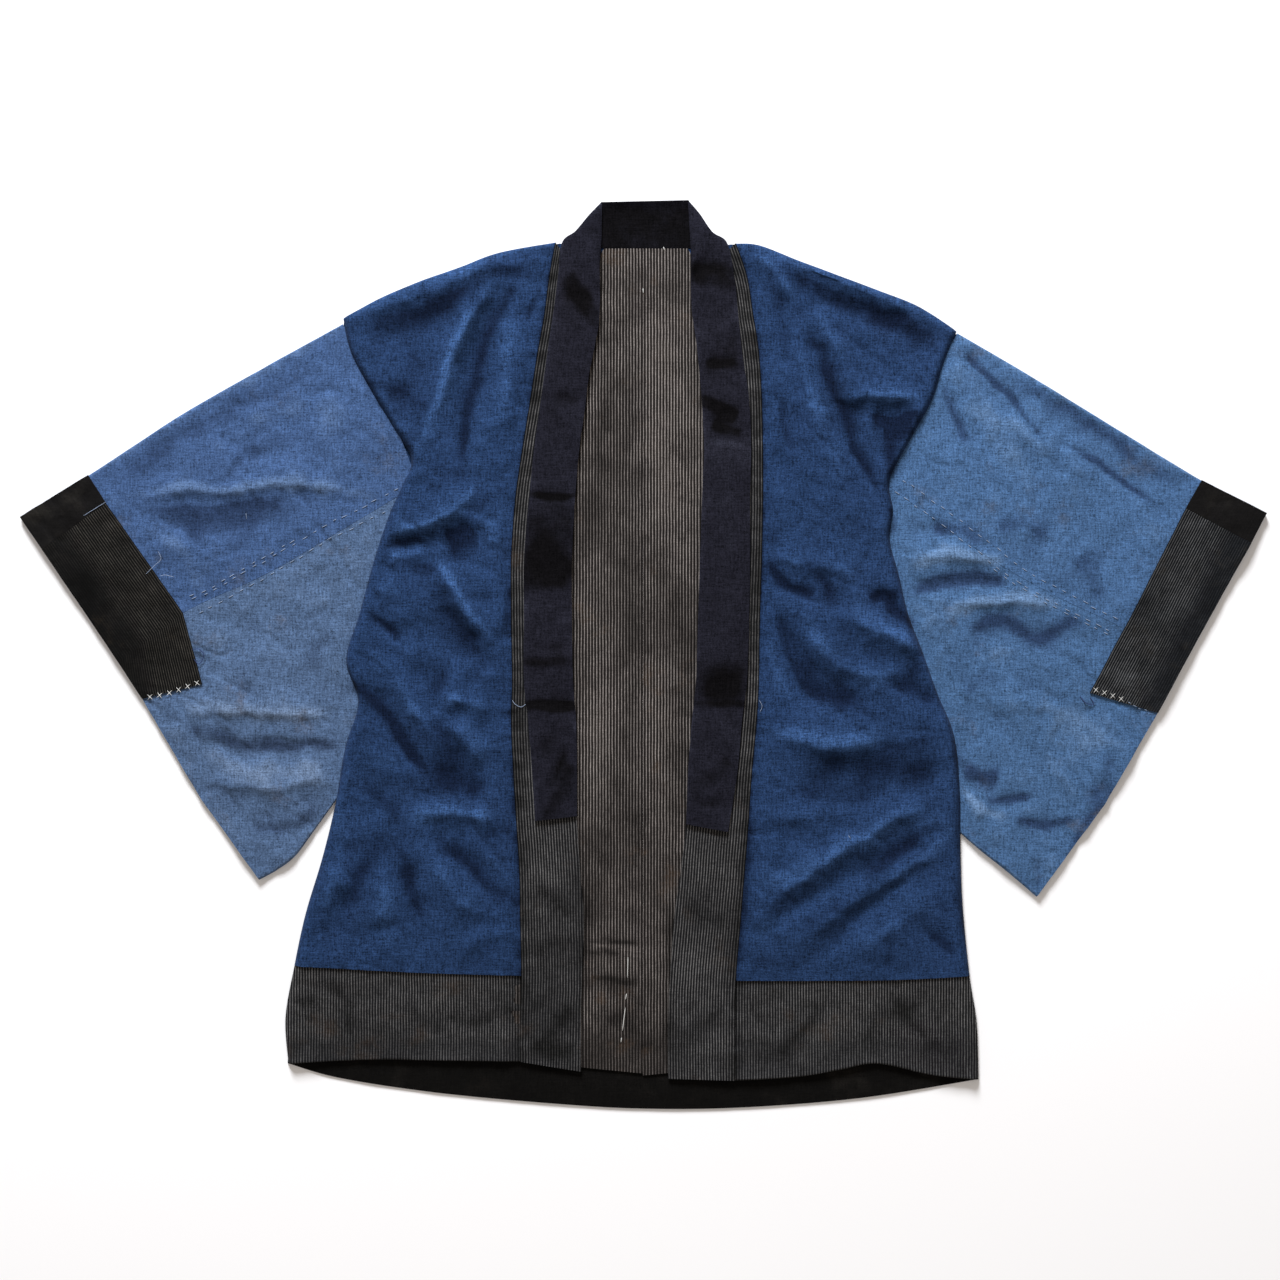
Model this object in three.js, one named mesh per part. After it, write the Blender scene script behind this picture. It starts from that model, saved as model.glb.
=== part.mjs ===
// A lined cotton work jacket in the old Japanese cut, pieced from indigo, faded indigo, striped and
// black cloth, laid out flat with its fronts up. Every piece is a wall of cloth of real thickness.
// The outlines are written in millimetres on the laying-out table, x to the right and y down from
// the table's far left corner, because that is how a garment is measured out. place() turns a table
// point into the model's frame: +X to the right, +Y to the collar, +Z up, origin under the middle.

import * as THREE from "three";

// Sizes of the cloth, in millimetres
const CLOTH = 1.2;
const COLLAR_CLOTH = 2.0;
const GAP = 0.3;
const LOFT = 1.0;
const SIDE_ROLL = 1.6;
const SLEEVE_CLEARANCE = 1.2;
const TUCKED_SHARES = [0.1, 0.5];
const CUFF_EASE = 0.2;

// Height of the underside of each layer over the table
const BACK_LEVEL = 0;
const LINING_LEVEL = CLOTH + GAP;
const FRONT_LEVEL = 2 * (CLOTH + GAP);

// The table point that lies over the model's origin
const TABLE_CENTRE = { x: 643.2, y: 654.6 };

// How finely the pieces are divided
const ROWS_PER_SECTION = 3;
const BODY_COLUMNS = [0, 0.03, 0.1, 0.18, 0.26, 0.34, 0.42, 0.5, 0.58, 0.66, 0.74, 0.82, 0.91, 1];
const COLLAR_CELLS = 3;
const ARC_STEPS = 4;
const CUFF_CELLS = 3;
const SLEEVE_CELLS = 13;

const BLUE = { color: 0x24447a, roughness: 0.9, metalness: 0 };
const FADED_BLUE = { color: 0x55759f, roughness: 0.92, metalness: 0 };
const STRIPED = { color: 0x39352f, roughness: 0.9, metalness: 0 };
const LINING_STRIPED = { color: 0x5a5048, roughness: 0.9, metalness: 0 };
const BLACK = { color: 0x17181c, roughness: 0.75, metalness: 0 };

// The fronts, from the neck to the hem, one row for each section across the front. side is the
// outer edge of the blue cloth, seam joins it to the striped facing, collar is the collar's outer
// edge on the facing, and edge is the opening edge, which the collar shares.
const LEFT_FRONT = [
  { side: [343, 318], seam: [555, 242], collar: [562, 243], edge: [600, 300] },
  { side: [351, 352], seam: [549, 277], collar: [558, 277], edge: [599, 322] },
  { side: [372, 392], seam: [544, 315], collar: [553, 315], edge: [595, 345] },
  { side: [392, 425], seam: [537, 355], collar: [547, 355], edge: [589, 375] },
  { side: [411, 459], seam: [530, 400], collar: [541, 400], edge: [585, 408] },
  { side: [402, 486], seam: [522, 450], collar: [534, 450], edge: [579, 452] },
  { side: [389, 515], seam: [515, 500], collar: [529, 500], edge: [575, 500] },
  { side: [374, 560], seam: [511, 560], collar: [524, 560], edge: [572, 560] },
  { side: [359, 615], seam: [511, 620], collar: [524, 620], edge: [572, 620] },
  { side: [346, 660], seam: [512, 680], collar: [524, 680], edge: [573, 680] },
  { side: [358, 702], seam: [511, 720], collar: [528, 720], edge: [576, 720] },
  { side: [345, 748], seam: [513, 770], collar: [532, 770], edge: [577, 768] },
  { side: [335, 805], seam: [516, 821], collar: [535, 821], edge: [577, 816] },
  { side: [322, 858], seam: [519, 870], collar: [538, 870], edge: [580, 870] },
  { side: [305, 915], seam: [520, 920], collar: [540, 920], edge: [584, 920] },
  { side: [294, 966], seam: [521, 976], collar: [541, 976], edge: [582, 976] },
  { side: [285, 1018], seam: [520, 1020], collar: [540, 1020], edge: [581, 1020] },
  { side: [288, 1064], seam: [520, 1062], collar: [540, 1066], edge: [581, 1072] },
];
const RIGHT_FRONT = [
  { side: [957, 331], seam: [736, 243], collar: [727, 243], edge: [691, 285] },
  { side: [944, 362], seam: [747, 275], collar: [734, 275], edge: [692, 312] },
  { side: [932, 400], seam: [753, 312], collar: [738, 312], edge: [696, 340] },
  { side: [910, 440], seam: [759, 352], collar: [742, 352], edge: [699, 368] },
  { side: [890, 480], seam: [762, 400], collar: [749, 400], edge: [702, 405] },
  { side: [893, 510], seam: [763, 450], collar: [751, 450], edge: [704, 450] },
  { side: [890, 540], seam: [763, 500], collar: [750, 500], edge: [702, 500] },
  { side: [899, 575], seam: [762, 560], collar: [750, 560], edge: [700, 560] },
  { side: [908, 613], seam: [760, 620], collar: [749, 620], edge: [698, 620] },
  { side: [922, 650], seam: [759, 680], collar: [747, 680], edge: [696, 680] },
  { side: [937, 692], seam: [757, 720], collar: [742, 720], edge: [692, 720] },
  { side: [954, 735], seam: [752, 775], collar: [737, 775], edge: [688, 772] },
  { side: [960, 790], seam: [748, 832], collar: [728, 832], edge: [686, 824] },
  { side: [961, 850], seam: [745, 870], collar: [724, 870], edge: [681, 870] },
  { side: [963, 905], seam: [741, 920], collar: [720, 920], edge: [674, 920] },
  { side: [970, 976], seam: [736, 981], collar: [714, 981], edge: [670, 981] },
  { side: [977, 1022], seam: [735, 1025], collar: [713, 1025], edge: [668, 1025] },
  { side: [979, 1080], seam: [735, 1081], collar: [713, 1082], edge: [668, 1079] },
];
const COLLAR_END_SECTION = 12;
const HEM_SECTION = 15;
const UNDERARM_SECTION = { left: 13, right: 14 };

// The shoulder fold and the seams over the hem bands, between the corners that the tables above give
const LEFT_SHOULDER = [[343, 318], [380, 298], [420, 281], [460, 267], [500, 252], [555, 242]];
const RIGHT_SHOULDER = [[957, 331], [920, 307], [880, 291], [840, 276], [800, 261], [760, 245], [736, 243]];
const LEFT_HEM_SEAM = [[294, 966], [360, 970], [420, 973], [521, 976]];
const RIGHT_HEM_SEAM = [[970, 976], [900, 980], [820, 981], [736, 981]];
const LEFT_HEM_EDGE = [[288, 1064], [320, 1062], [380, 1060], [440, 1061], [520, 1062]];
const RIGHT_HEM_EDGE = [[979, 1080], [930, 1075], [878, 1064], [840, 1070], [800, 1077], [735, 1081]];

// The collar's first stretch, from the fold at the nape over the shoulder to the front
const LEFT_NECK = [
  { collar: [602, 201], edge: [601.3, 246] },
  { collar: [590, 214], edge: [600, 264] },
  { collar: [576, 231], edge: [600, 282] },
];
const RIGHT_NECK = [
  { collar: [688, 199.5], edge: [690.7, 247] },
  { collar: [699, 213], edge: [691, 260] },
  { collar: [712, 232], edge: [691, 272] },
];
const NAPE = [
  { left: [602.5, 202], right: [687.5, 200] },
  { left: [602.3, 208], right: [687.8, 206] },
  { left: [602.0, 227], right: [689.0, 227] },
  { left: [601.7, 247.4], right: [690.2, 247.4] },
];

// The back of each half, from the shoulder to the hem seam: the outer edge, then the middle seam
const LEFT_BACK = [
  { side: [343, 318], middle: [555, 242] },
  { side: [344.5, 370], middle: [598, 248] },
  { side: [347, 470], middle: [643, 249] },
  { side: [349.3, 560], middle: [643, 560] },
  { side: [349.3, 789], middle: [643, 789] },
  { side: [336, 814], middle: [643, 830] },
  { side: [313, 890], middle: [643, 900] },
  { side: [294, 966], middle: [643, 985] },
];
const RIGHT_BACK = [
  { side: [957, 331], middle: [736, 243] },
  { side: [955, 375], middle: [692, 248] },
  { side: [953, 470], middle: [643, 249] },
  { side: [951, 560], middle: [643, 560] },
  { side: [951, 829], middle: [643, 829] },
  { side: [960, 848], middle: [643, 850] },
  { side: [963, 905], middle: [643, 905] },
  { side: [970, 976], middle: [643, 985] },
];
const BACK_HEM_TOP = [[294, 966], [643, 985], [970, 976]];
const BACK_HEM_EDGE = [
  [287, 1064], [340, 1079], [440, 1094], [560, 1105], [643, 1109.5], [740, 1108.5], [860, 1099], [979, 1080],
];

// The striped back lining, built a little past where it shows between the fronts
const LINING = [
  { left: [604, 248], right: [688, 248] },
  { left: [572, 300], right: [716, 300] },
  { left: [520, 360], right: [770, 360] },
  { left: [490, 460], right: [800, 460] },
  { left: [480, 700], right: [808, 700] },
  { left: [480, 900], right: [808, 900] },
  { left: [480, 1040], right: [808, 1040] },
  { left: [480, 1058], right: [808, 1060] },
];
const LINING_HEM_DROP = 16;
const LINING_COLUMNS = 6;

// The sleeves, one row for each section along the arm: the opening edge, the line of the cuff, two
// points on the sleeve and the end that is tucked under the front
const LEFT_SLEEVE = {
  top: [[19.5, 517], [88, 475], [180, 415], [262, 368], [342.3, 323.6]],
  cuffTop: [[42, 549], [106, 503], [195, 450], [285, 408], [385, 396]],
  seam: [[118, 662], [183, 613], [260, 577], [320, 543], [418, 484]],
  cuffEnd: [[142, 699], [202, 684], [260, 672], [310, 664], [364, 655]],
  lower: [[200, 798], [247, 767], [285, 757], [320, 750], [362, 738]],
  bottom: [[259, 880], [277, 870], [295, 856], [315, 829], [344.5, 788]],
  backSeam: [[118, 662], [183, 627], [250, 600], [300, 580], [349, 560]],
};
const RIGHT_SLEEVE = {
  top: [[1267, 513], [1202, 480], [1110, 424], [1030, 375], [957.9, 332.9]],
  cuffTop: [[1251, 543], [1186, 508], [1100, 462], [1010, 420], [917, 398]],
  seam: [[1182, 668], [1124, 629], [1050, 593], [980, 552], [878, 478]],
  cuffEnd: [[1158, 713], [1090, 693], [1040, 680], [990, 668], [908, 650]],
  lower: [[1104, 806], [1058, 775], [1020, 765], [990, 755], [940, 738]],
  bottom: [[1037, 897], [1022, 884], [1004, 869], [980, 850], [953.5, 827]],
  backSeam: [[1182, 668], [1124, 640], [1050, 610], [1000, 590], [951.3, 560]],
};
const CUFF_TOP_ROWS = 3;
const UPPER_ROWS = 8;
const CUFF_END_ROWS = 4;
const LOWER_ROWS = 5;
const BOTTOM_ROWS = 4;

// The largest folds, one row for each: the crest runs from one end through the middle to the other,
// and stands high over the cloth with flanks as wide as given. A trough has a height below zero.
const FOLDS = [
  { from: [352, 326], middle: [455, 282], to: [548, 256], wide: 12, high: 4 },
  { from: [492, 284], middle: [455, 365], to: [424, 452], wide: 17, high: 8 },
  { from: [532, 284], middle: [497, 370], to: [486, 470], wide: 14, high: 4 },
  { from: [366, 546], middle: [430, 520], to: [480, 478], wide: 11, high: 8 },
  { from: [436, 560], middle: [466, 603], to: [500, 652], wide: 13, high: 8 },
  { from: [372, 588], middle: [405, 610], to: [420, 650], wide: 30, high: 8 },
  { from: [372, 694], middle: [440, 712], to: [500, 706], wide: 16, high: 8 },
  { from: [372, 800], middle: [430, 812], to: [505, 838], wide: 20, high: 7 },
  { from: [345, 760], middle: [372, 790], to: [400, 850], wide: 14, high: 4 },
  { from: [400, 900], middle: [455, 905], to: [510, 935], wide: 20, high: 4 },
  { from: [322, 940], middle: [335, 890], to: [365, 850], wide: 16, high: 4 },
  { from: [745, 254], middle: [850, 292], to: [948, 330], wide: 12, high: 4 },
  { from: [760, 262], middle: [784, 315], to: [792, 372], wide: 12, high: 5 },
  { from: [798, 300], middle: [838, 415], to: [882, 502], wide: 17, high: 8 },
  { from: [856, 404], middle: [890, 406], to: [934, 404], wide: 11, high: 7 },
  { from: [758, 540], middle: [790, 572], to: [850, 582], wide: 14, high: 5 },
  { from: [862, 598], middle: [895, 618], to: [926, 650], wide: 12, high: 7 },
  { from: [776, 640], middle: [850, 668], to: [924, 664], wide: 16, high: 6 },
  { from: [778, 730], middle: [850, 742], to: [930, 730], wide: 14, high: 8 },
  { from: [752, 880], middle: [850, 838], to: [952, 782], wide: 18, high: 6 },
  { from: [752, 948], middle: [850, 880], to: [955, 812], wide: 16, high: 6 },
  { from: [800, 962], middle: [880, 912], to: [955, 850], wide: 16, high: 4 },
  { from: [112, 500], middle: [210, 488], to: [384, 494], wide: 16, high: 7 },
  { from: [132, 536], middle: [180, 552], to: [230, 560], wide: 16, high: 4 },
  { from: [160, 712], middle: [260, 722], to: [344, 730], wide: 17, high: 8 },
  { from: [205, 770], middle: [270, 792], to: [330, 790], wide: 15, high: 6 },
  { from: [968, 352], middle: [1060, 420], to: [1180, 500], wide: 18, high: 5 },
  { from: [900, 560], middle: [950, 556], to: [1010, 566], wide: 15, high: 7 },
  { from: [904, 612], middle: [980, 600], to: [1070, 604], wide: 16, high: 8 },
  { from: [940, 690], middle: [1010, 700], to: [1080, 720], wide: 22, high: 5 },
  { from: [962, 752], middle: [1000, 790], to: [1080, 800], wide: 15, high: 6 },
  { from: [980, 830], middle: [1030, 838], to: [1070, 830], wide: 14, high: 5 },
];
const CREST_PIECES = 6;

const group = new THREE.Group();

// Points of the smooth curve through the given ones, so many to each interval
function throughPoints(points, perInterval) {
  const at = (i) => points[Math.max(0, Math.min(points.length - 1, i))];
  const made = [];
  for (let i = 0; i < points.length - 1; i++) {
    for (let k = 0; k < perInterval; k++) {
      made.push(curvePoint(at(i - 1), at(i), at(i + 1), at(i + 2), k / perInterval));
    }
  }
  made.push(at(points.length - 1));
  return made;
}

// The Catmull-Rom curve between b and c at t, with a and d as the neighbours
function curvePoint(a, b, c, d, t) {
  return [0, 1].map((axis) => {
    const bend = 2 * a[axis] - 5 * b[axis] + 4 * c[axis] - d[axis];
    const twist = 3 * (b[axis] - c[axis]) + d[axis] - a[axis];
    return b[axis] + 0.5 * t * (c[axis] - a[axis] + t * (bend + t * twist));
  });
}

// Points at the given shares of a smooth curve's length
function atShares(points, shares) {
  const fine = throughPoints(points, 12);
  const walked = [0];
  for (let i = 1; i < fine.length; i++) {
    walked.push(walked[i - 1] + Math.hypot(fine[i][0] - fine[i - 1][0], fine[i][1] - fine[i - 1][1]));
  }
  const whole = walked[walked.length - 1];
  return shares.map((share) => {
    const reach = share * whole;
    let i = 1;
    while (i < walked.length - 1 && walked[i] < reach) i++;
    const t = (reach - walked[i - 1]) / (walked[i] - walked[i - 1]);
    return between(fine[i - 1], fine[i], t);
  });
}

function between(a, b, t) {
  return [a[0] + (b[0] - a[0]) * t, a[1] + (b[1] - a[1]) * t];
}

function evenShares(cells) {
  return Array.from({ length: cells + 1 }, (_, i) => i / cells);
}

function shifted(points, dx, dy) {
  return points.map(([x, y]) => [x + dx, y + dy]);
}

// How far the folds lift the cloth at a table point: each crest is a chain of short straight
// pieces, its flanks fall off as a bell curve, and it dies away towards both ends
function lift(x, y) {
  let sum = LOFT;
  for (const fold of CRESTS) {
    const near = nearestOnChain(fold.chain, x, y);
    const taper = Math.sin(Math.PI * Math.min(0.96, Math.max(0.04, near.share)));
    sum += fold.high * taper * Math.exp(-((near.distance / fold.wide) ** 2));
  }
  return Math.max(0, sum);
}

const CRESTS = FOLDS.map((fold) => ({
  ...fold,
  chain: throughPoints([fold.from, fold.middle, fold.to], CREST_PIECES / 2),
}));

function nearestOnChain(chain, x, y) {
  const best = { distance: Infinity, share: 0 };
  for (let i = 0; i < chain.length - 1; i++) {
    const [ax, ay] = chain[i];
    const [bx, by] = chain[i + 1];
    const length2 = (bx - ax) ** 2 + (by - ay) ** 2;
    const t = Math.min(1, Math.max(0, ((x - ax) * (bx - ax) + (y - ay) * (by - ay)) / length2));
    const distance = Math.hypot(x - ax - t * (bx - ax), y - ay - t * (by - ay));
    if (distance < best.distance) {
      best.distance = distance;
      best.share = (i + t) / (chain.length - 1);
    }
  }
  return best;
}

// Rows of table points between four edges: left and right run down the rows, top and bottom run
// along the columns, and shares says where the columns lie. A row is straight, but bends with the
// top or the bottom edge the nearer it lies to it.
function filled(top, bottom, left, right, shares) {
  const last = left.length - 1;
  return left.map((start, row) => {
    const v = row / last;
    return shares.map((u, column) => {
      const straight = between(start, right[row], u);
      const straightTop = between(left[0], right[0], u);
      const straightBottom = between(left[last], right[last], u);
      return [0, 1].map((axis) => {
        const topBend = (1 - v) ** 3 * (top[column][axis] - straightTop[axis]);
        const bottomBend = v ** 3 * (bottom[column][axis] - straightBottom[axis]);
        return straight[axis] + topBend + bottomBend;
      });
    });
  });
}

// A table point at a height, in the model's frame
function place([x, y], z) {
  return new THREE.Vector3(x - TABLE_CENTRE.x, TABLE_CENTRE.y - y, z);
}

// Rows of points at the heights that height(point, row, column) gives
function raised(rows, height) {
  return rows.map((row, i) => row.map((point, j) => place(point, height(point, i, j))));
}

// The closed wall between an outer and an inner sheet of points, both given as rows of columns
function wall(outer, inner) {
  const rows = outer.length;
  const columns = outer[0].length;
  const positions = [...outer.flat(), ...inner.flat()].flatMap((p) => [p.x, p.y, p.z]);
  const out = (i, j) => i * columns + j;
  const into = (i, j) => rows * columns + i * columns + j;
  const faces = [];
  const quad = (a, b, c, d) => faces.push(a, b, c, a, c, d);
  for (let i = 0; i < rows - 1; i++) {
    for (let j = 0; j < columns - 1; j++) {
      quad(out(i, j), out(i + 1, j), out(i + 1, j + 1), out(i, j + 1));
      quad(into(i, j), into(i, j + 1), into(i + 1, j + 1), into(i + 1, j));
    }
    quad(out(i, 0), into(i, 0), into(i + 1, 0), out(i + 1, 0));
    const j = columns - 1;
    quad(out(i, j), out(i + 1, j), into(i + 1, j), into(i, j));
  }
  for (let j = 0; j < columns - 1; j++) {
    quad(out(0, j), out(0, j + 1), into(0, j + 1), into(0, j));
    const i = rows - 1;
    quad(out(i, j), into(i, j), into(i, j + 1), out(i, j + 1));
  }
  return facingOut(positions, faces);
}

// The mesh with its faces turned outwards, whichever hand the rows and columns have
function facingOut(positions, faces) {
  const point = (i) => new THREE.Vector3().fromArray(positions, 3 * i);
  let volume = 0;
  for (let i = 0; i < faces.length; i += 3) {
    volume += point(faces[i]).dot(point(faces[i + 1]).cross(point(faces[i + 2])));
  }
  if (volume < 0) {
    for (let i = 0; i < faces.length; i += 3) {
      [faces[i + 1], faces[i + 2]] = [faces[i + 2], faces[i + 1]];
    }
  }
  const geometry = new THREE.BufferGeometry();
  geometry.setAttribute("position", new THREE.Float32BufferAttribute(positions, 3));
  geometry.setIndex(faces);
  geometry.computeVertexNormals();
  return geometry;
}

function addPiece(name, outer, inner, look) {
  const mesh = new THREE.Mesh(wall(outer, inner), new THREE.MeshStandardMaterial(look));
  mesh.name = name;
  group.add(mesh);
}

// A cloth that turns over a folded edge: front rows that start at the edge, half a turn round it,
// and back rows that start at the edge and lie on the table. heights gives the front's underside
// at each of its points. reach is how far the sheet stands out from the cloth's own inner face: 0
// for that face, the cloth's thickness for its outer one.
function turned(front, heights, back, reach) {
  const radius = heights[0].map((height) => (height + CLOTH) / 2);
  const inward = front[0].map((point, j) => {
    const [dx, dy] = [front[1][j][0] - point[0], front[1][j][1] - point[1]];
    const length = Math.hypot(dx, dy);
    return [dx / length, dy / length];
  });
  const axis = front[0].map(([x, y], j) => [x + inward[j][0] * radius[j], y + inward[j][1] * radius[j]]);
  const frontRows = [axis, ...front.slice(1)].map((row, i) =>
    row.map((point, j) => place(point, heights[i][j] + reach)),
  );
  const turn = Array.from({ length: ARC_STEPS - 1 }, (_, step) => {
    const angle = Math.PI / 2 - (Math.PI * (step + 1)) / ARC_STEPS;
    return axis.map(([x, y], j) => {
      const arm = radius[j] - CLOTH + reach;
      const out = arm * Math.cos(angle);
      const point = [x - inward[j][0] * out, y - inward[j][1] * out];
      return place(point, radius[j] + arm * Math.sin(angle));
    });
  });
  const backRows = [axis, ...back.slice(1)].map((row) =>
    row.map((point) => place(point, BACK_LEVEL + CLOTH - reach)),
  );
  return [...frontRows.reverse(), ...turn, ...backRows];
}

const frontUnderside = ([x, y]) => FRONT_LEVEL + lift(x, y);
const sleeveUnderside = ([x, y]) => LINING_LEVEL + lift(x, y);

// One half of the body: the front, the fold over the shoulder and the back, in one cloth. The
// front's side edge lies over the sleeve, or below the sleeve on the back, and rolls up beside it.
function addBody(side, frontTable, shoulder, hemSeam, backTable, toSeam) {
  const rows = HEM_SECTION * ROWS_PER_SECTION + 1;
  const outer = throughPoints(frontTable.map((s) => s.side), ROWS_PER_SECTION).slice(0, rows);
  const seam = throughPoints(frontTable.map((s) => s.seam), ROWS_PER_SECTION).slice(0, rows);
  const top = atShares(shoulder, BODY_COLUMNS);
  const bottom = shifted(atShares(hemSeam, BODY_COLUMNS), 0, -GAP / 2);
  const front = filled(top, bottom, outer, shifted(seam, toSeam, 0), BODY_COLUMNS);
  const restsOnBack = ROWS_PER_SECTION * UNDERARM_SECTION[side];
  const heights = front.map((row, i) => row.map((point, column) => {
    if (column === 0 && i >= restsOnBack) return LINING_LEVEL;
    const rolled = [SLEEVE_CLEARANCE, SIDE_ROLL][column] ?? 0;
    return frontUnderside(point) + rolled;
  }));
  const backSide = backTable.map((s) => s.side);
  const backMiddle = shifted(backTable.map((s) => s.middle), toSeam, 0);
  const backHem = BODY_COLUMNS.map((u) => between(backSide.at(-1), backMiddle.at(-1), u));
  const back = filled(top, backHem, backSide, backMiddle, BODY_COLUMNS);
  back.push(shifted(back.pop(), 0, -GAP / 2));
  const sheet = (reach) => turned(front, heights, back, reach);
  addPiece("body_" + side, sheet(CLOTH), sheet(0), BLUE);
}

// The striped facing from the neck to the hem, and the collar made from its points, moved out. The
// collar runs on from the front over the shoulder to the nape.
function addFacingAndCollar(side, frontTable, neckTable, toSeam) {
  const lines = { seam: [], collar: [], edge: [] };
  for (const line of Object.keys(lines)) {
    lines[line] = throughPoints(frontTable.map((s) => s[line]), ROWS_PER_SECTION);
  }
  const columns = lines.seam.map((seam, i) => [
    [seam[0] - toSeam, seam[1]],
    ...evenShares(COLLAR_CELLS).map((u) => between(lines.collar[i], lines.edge[i], u)),
  ]);
  const facing = (reach) => raised(columns, (point) => frontUnderside(point) + reach);
  addPiece("facing_" + side, facing(CLOTH), facing(0), STRIPED);

  const onFacing = columns.slice(0, COLLAR_END_SECTION * ROWS_PER_SECTION + 1).map((row) => row.slice(1));
  const neckRows = neckTable.map((s) => evenShares(COLLAR_CELLS).map((u) => between(s.collar, s.edge, u)));
  const rows = [...neckRows, ...onFacing];
  const collarHeight = (point, i) => {
    const onFront = frontUnderside(point) + CLOTH + GAP;
    const settle = Math.min(1, i / neckRows.length);
    return onFront * settle + NAPE_HEIGHT * (1 - settle) + NECK_ROLL * Math.sin(Math.PI * settle);
  };
  const collar = (reach) => raised(rows, (point, i) => collarHeight(point, i) + reach);
  addPiece("collar_" + side, collar(COLLAR_CLOTH), collar(0), BLACK);
}
const NAPE_HEIGHT = 1.5;
const NECK_ROLL = 3;

// The nape of the collar, which lies with its inner side up and turns up along its top edge
function addNape() {
  const shares = evenShares(8);
  const rows = NAPE.map((s) => shares.map((u) => between(s.left, s.right, u)));
  const rim = [2.4, 0.8, 0.2, 0];
  const sheet = (reach) => raised(rows, (point, i) => (reach ? rim[i] + reach : 0));
  addPiece("collar_nape", sheet(COLLAR_CLOTH), sheet(0), BLACK);
}

// A hem band on one front, made like the front above it
function addHemBand(side, frontTable, hemSeam, hemEdge, toSeam) {
  const tail = (line) => throughPoints(frontTable.map((s) => s[line]), ROWS_PER_SECTION)
    .slice(HEM_SECTION * ROWS_PER_SECTION);
  const top = shifted(atShares(hemSeam, BODY_COLUMNS), 0, GAP / 2);
  const bottom = atShares(hemEdge, BODY_COLUMNS);
  const rows = filled(top, bottom, shifted(tail("side"), 0, GAP / 2), shifted(tail("seam"), toSeam, 0), BODY_COLUMNS);
  const height = (point, i, j) => {
    if (j === 0) return LINING_LEVEL;
    return frontUnderside(point) + (j === 1 ? SIDE_ROLL : 0);
  };
  const band = (reach) => raised(rows, (point, i, j) => height(point, i, j) + reach);
  addPiece("hem_" + side, band(CLOTH), band(0), STRIPED);
}

// The black hem band of the back, whose inner side shows below the fronts
function addBackHem() {
  const shares = evenShares(24);
  const top = shifted(shares.map((u) => (u < 0.5
    ? between(BACK_HEM_TOP[0], BACK_HEM_TOP[1], 2 * u)
    : between(BACK_HEM_TOP[1], BACK_HEM_TOP[2], 2 * u - 1))), 0, GAP / 2);
  const bottom = atShares(BACK_HEM_EDGE, shares);
  const rows = evenShares(3).map((v) => top.map((point, j) => between(point, bottom[j], v)));
  addPiece("hem_back", raised(rows, () => BACK_LEVEL + CLOTH), raised(rows, () => BACK_LEVEL), BLACK);
}

// One half of the striped lining, which lies on the back
function addLining(side, edgeName, toMiddle) {
  const middle = LINING.map((s) => [643 + toMiddle, (s.left[1] + s.right[1]) / 2]);
  const edge = LINING.map((s) => s[edgeName]);
  middle[LINING.length - 1][1] += LINING_HEM_DROP;
  const rows = throughPoints(edge, 2).map((point, i) => {
    const inner = throughPoints(middle, 2)[i];
    return evenShares(LINING_COLUMNS).map((u) => between(point, inner, u));
  });
  const sheet = (reach) => raised(rows, () => LINING_LEVEL + reach);
  addPiece("lining_" + side, sheet(CLOTH), sheet(0), LINING_STRIPED);
}

// Points along one line of a sleeve: the cuff's stretch, then the sleeve's
function alongArm(line) {
  const sleeve = throughPoints(line, 4);
  const cuffPart = evenShares(CUFF_CELLS).map((u) => between(line[0], line[1], u));
  const rest = atShares(sleeve.slice(4), evenShares(SLEEVE_CELLS));
  return [...cuffPart, ...rest.slice(1)];
}

// Rows from one line of a sleeve to the next, without the last
function rowsBetween(a, b, rows) {
  return Array.from({ length: rows }, (_, i) => a.map((point, j) => between(point, b[j], i / rows)));
}

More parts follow.
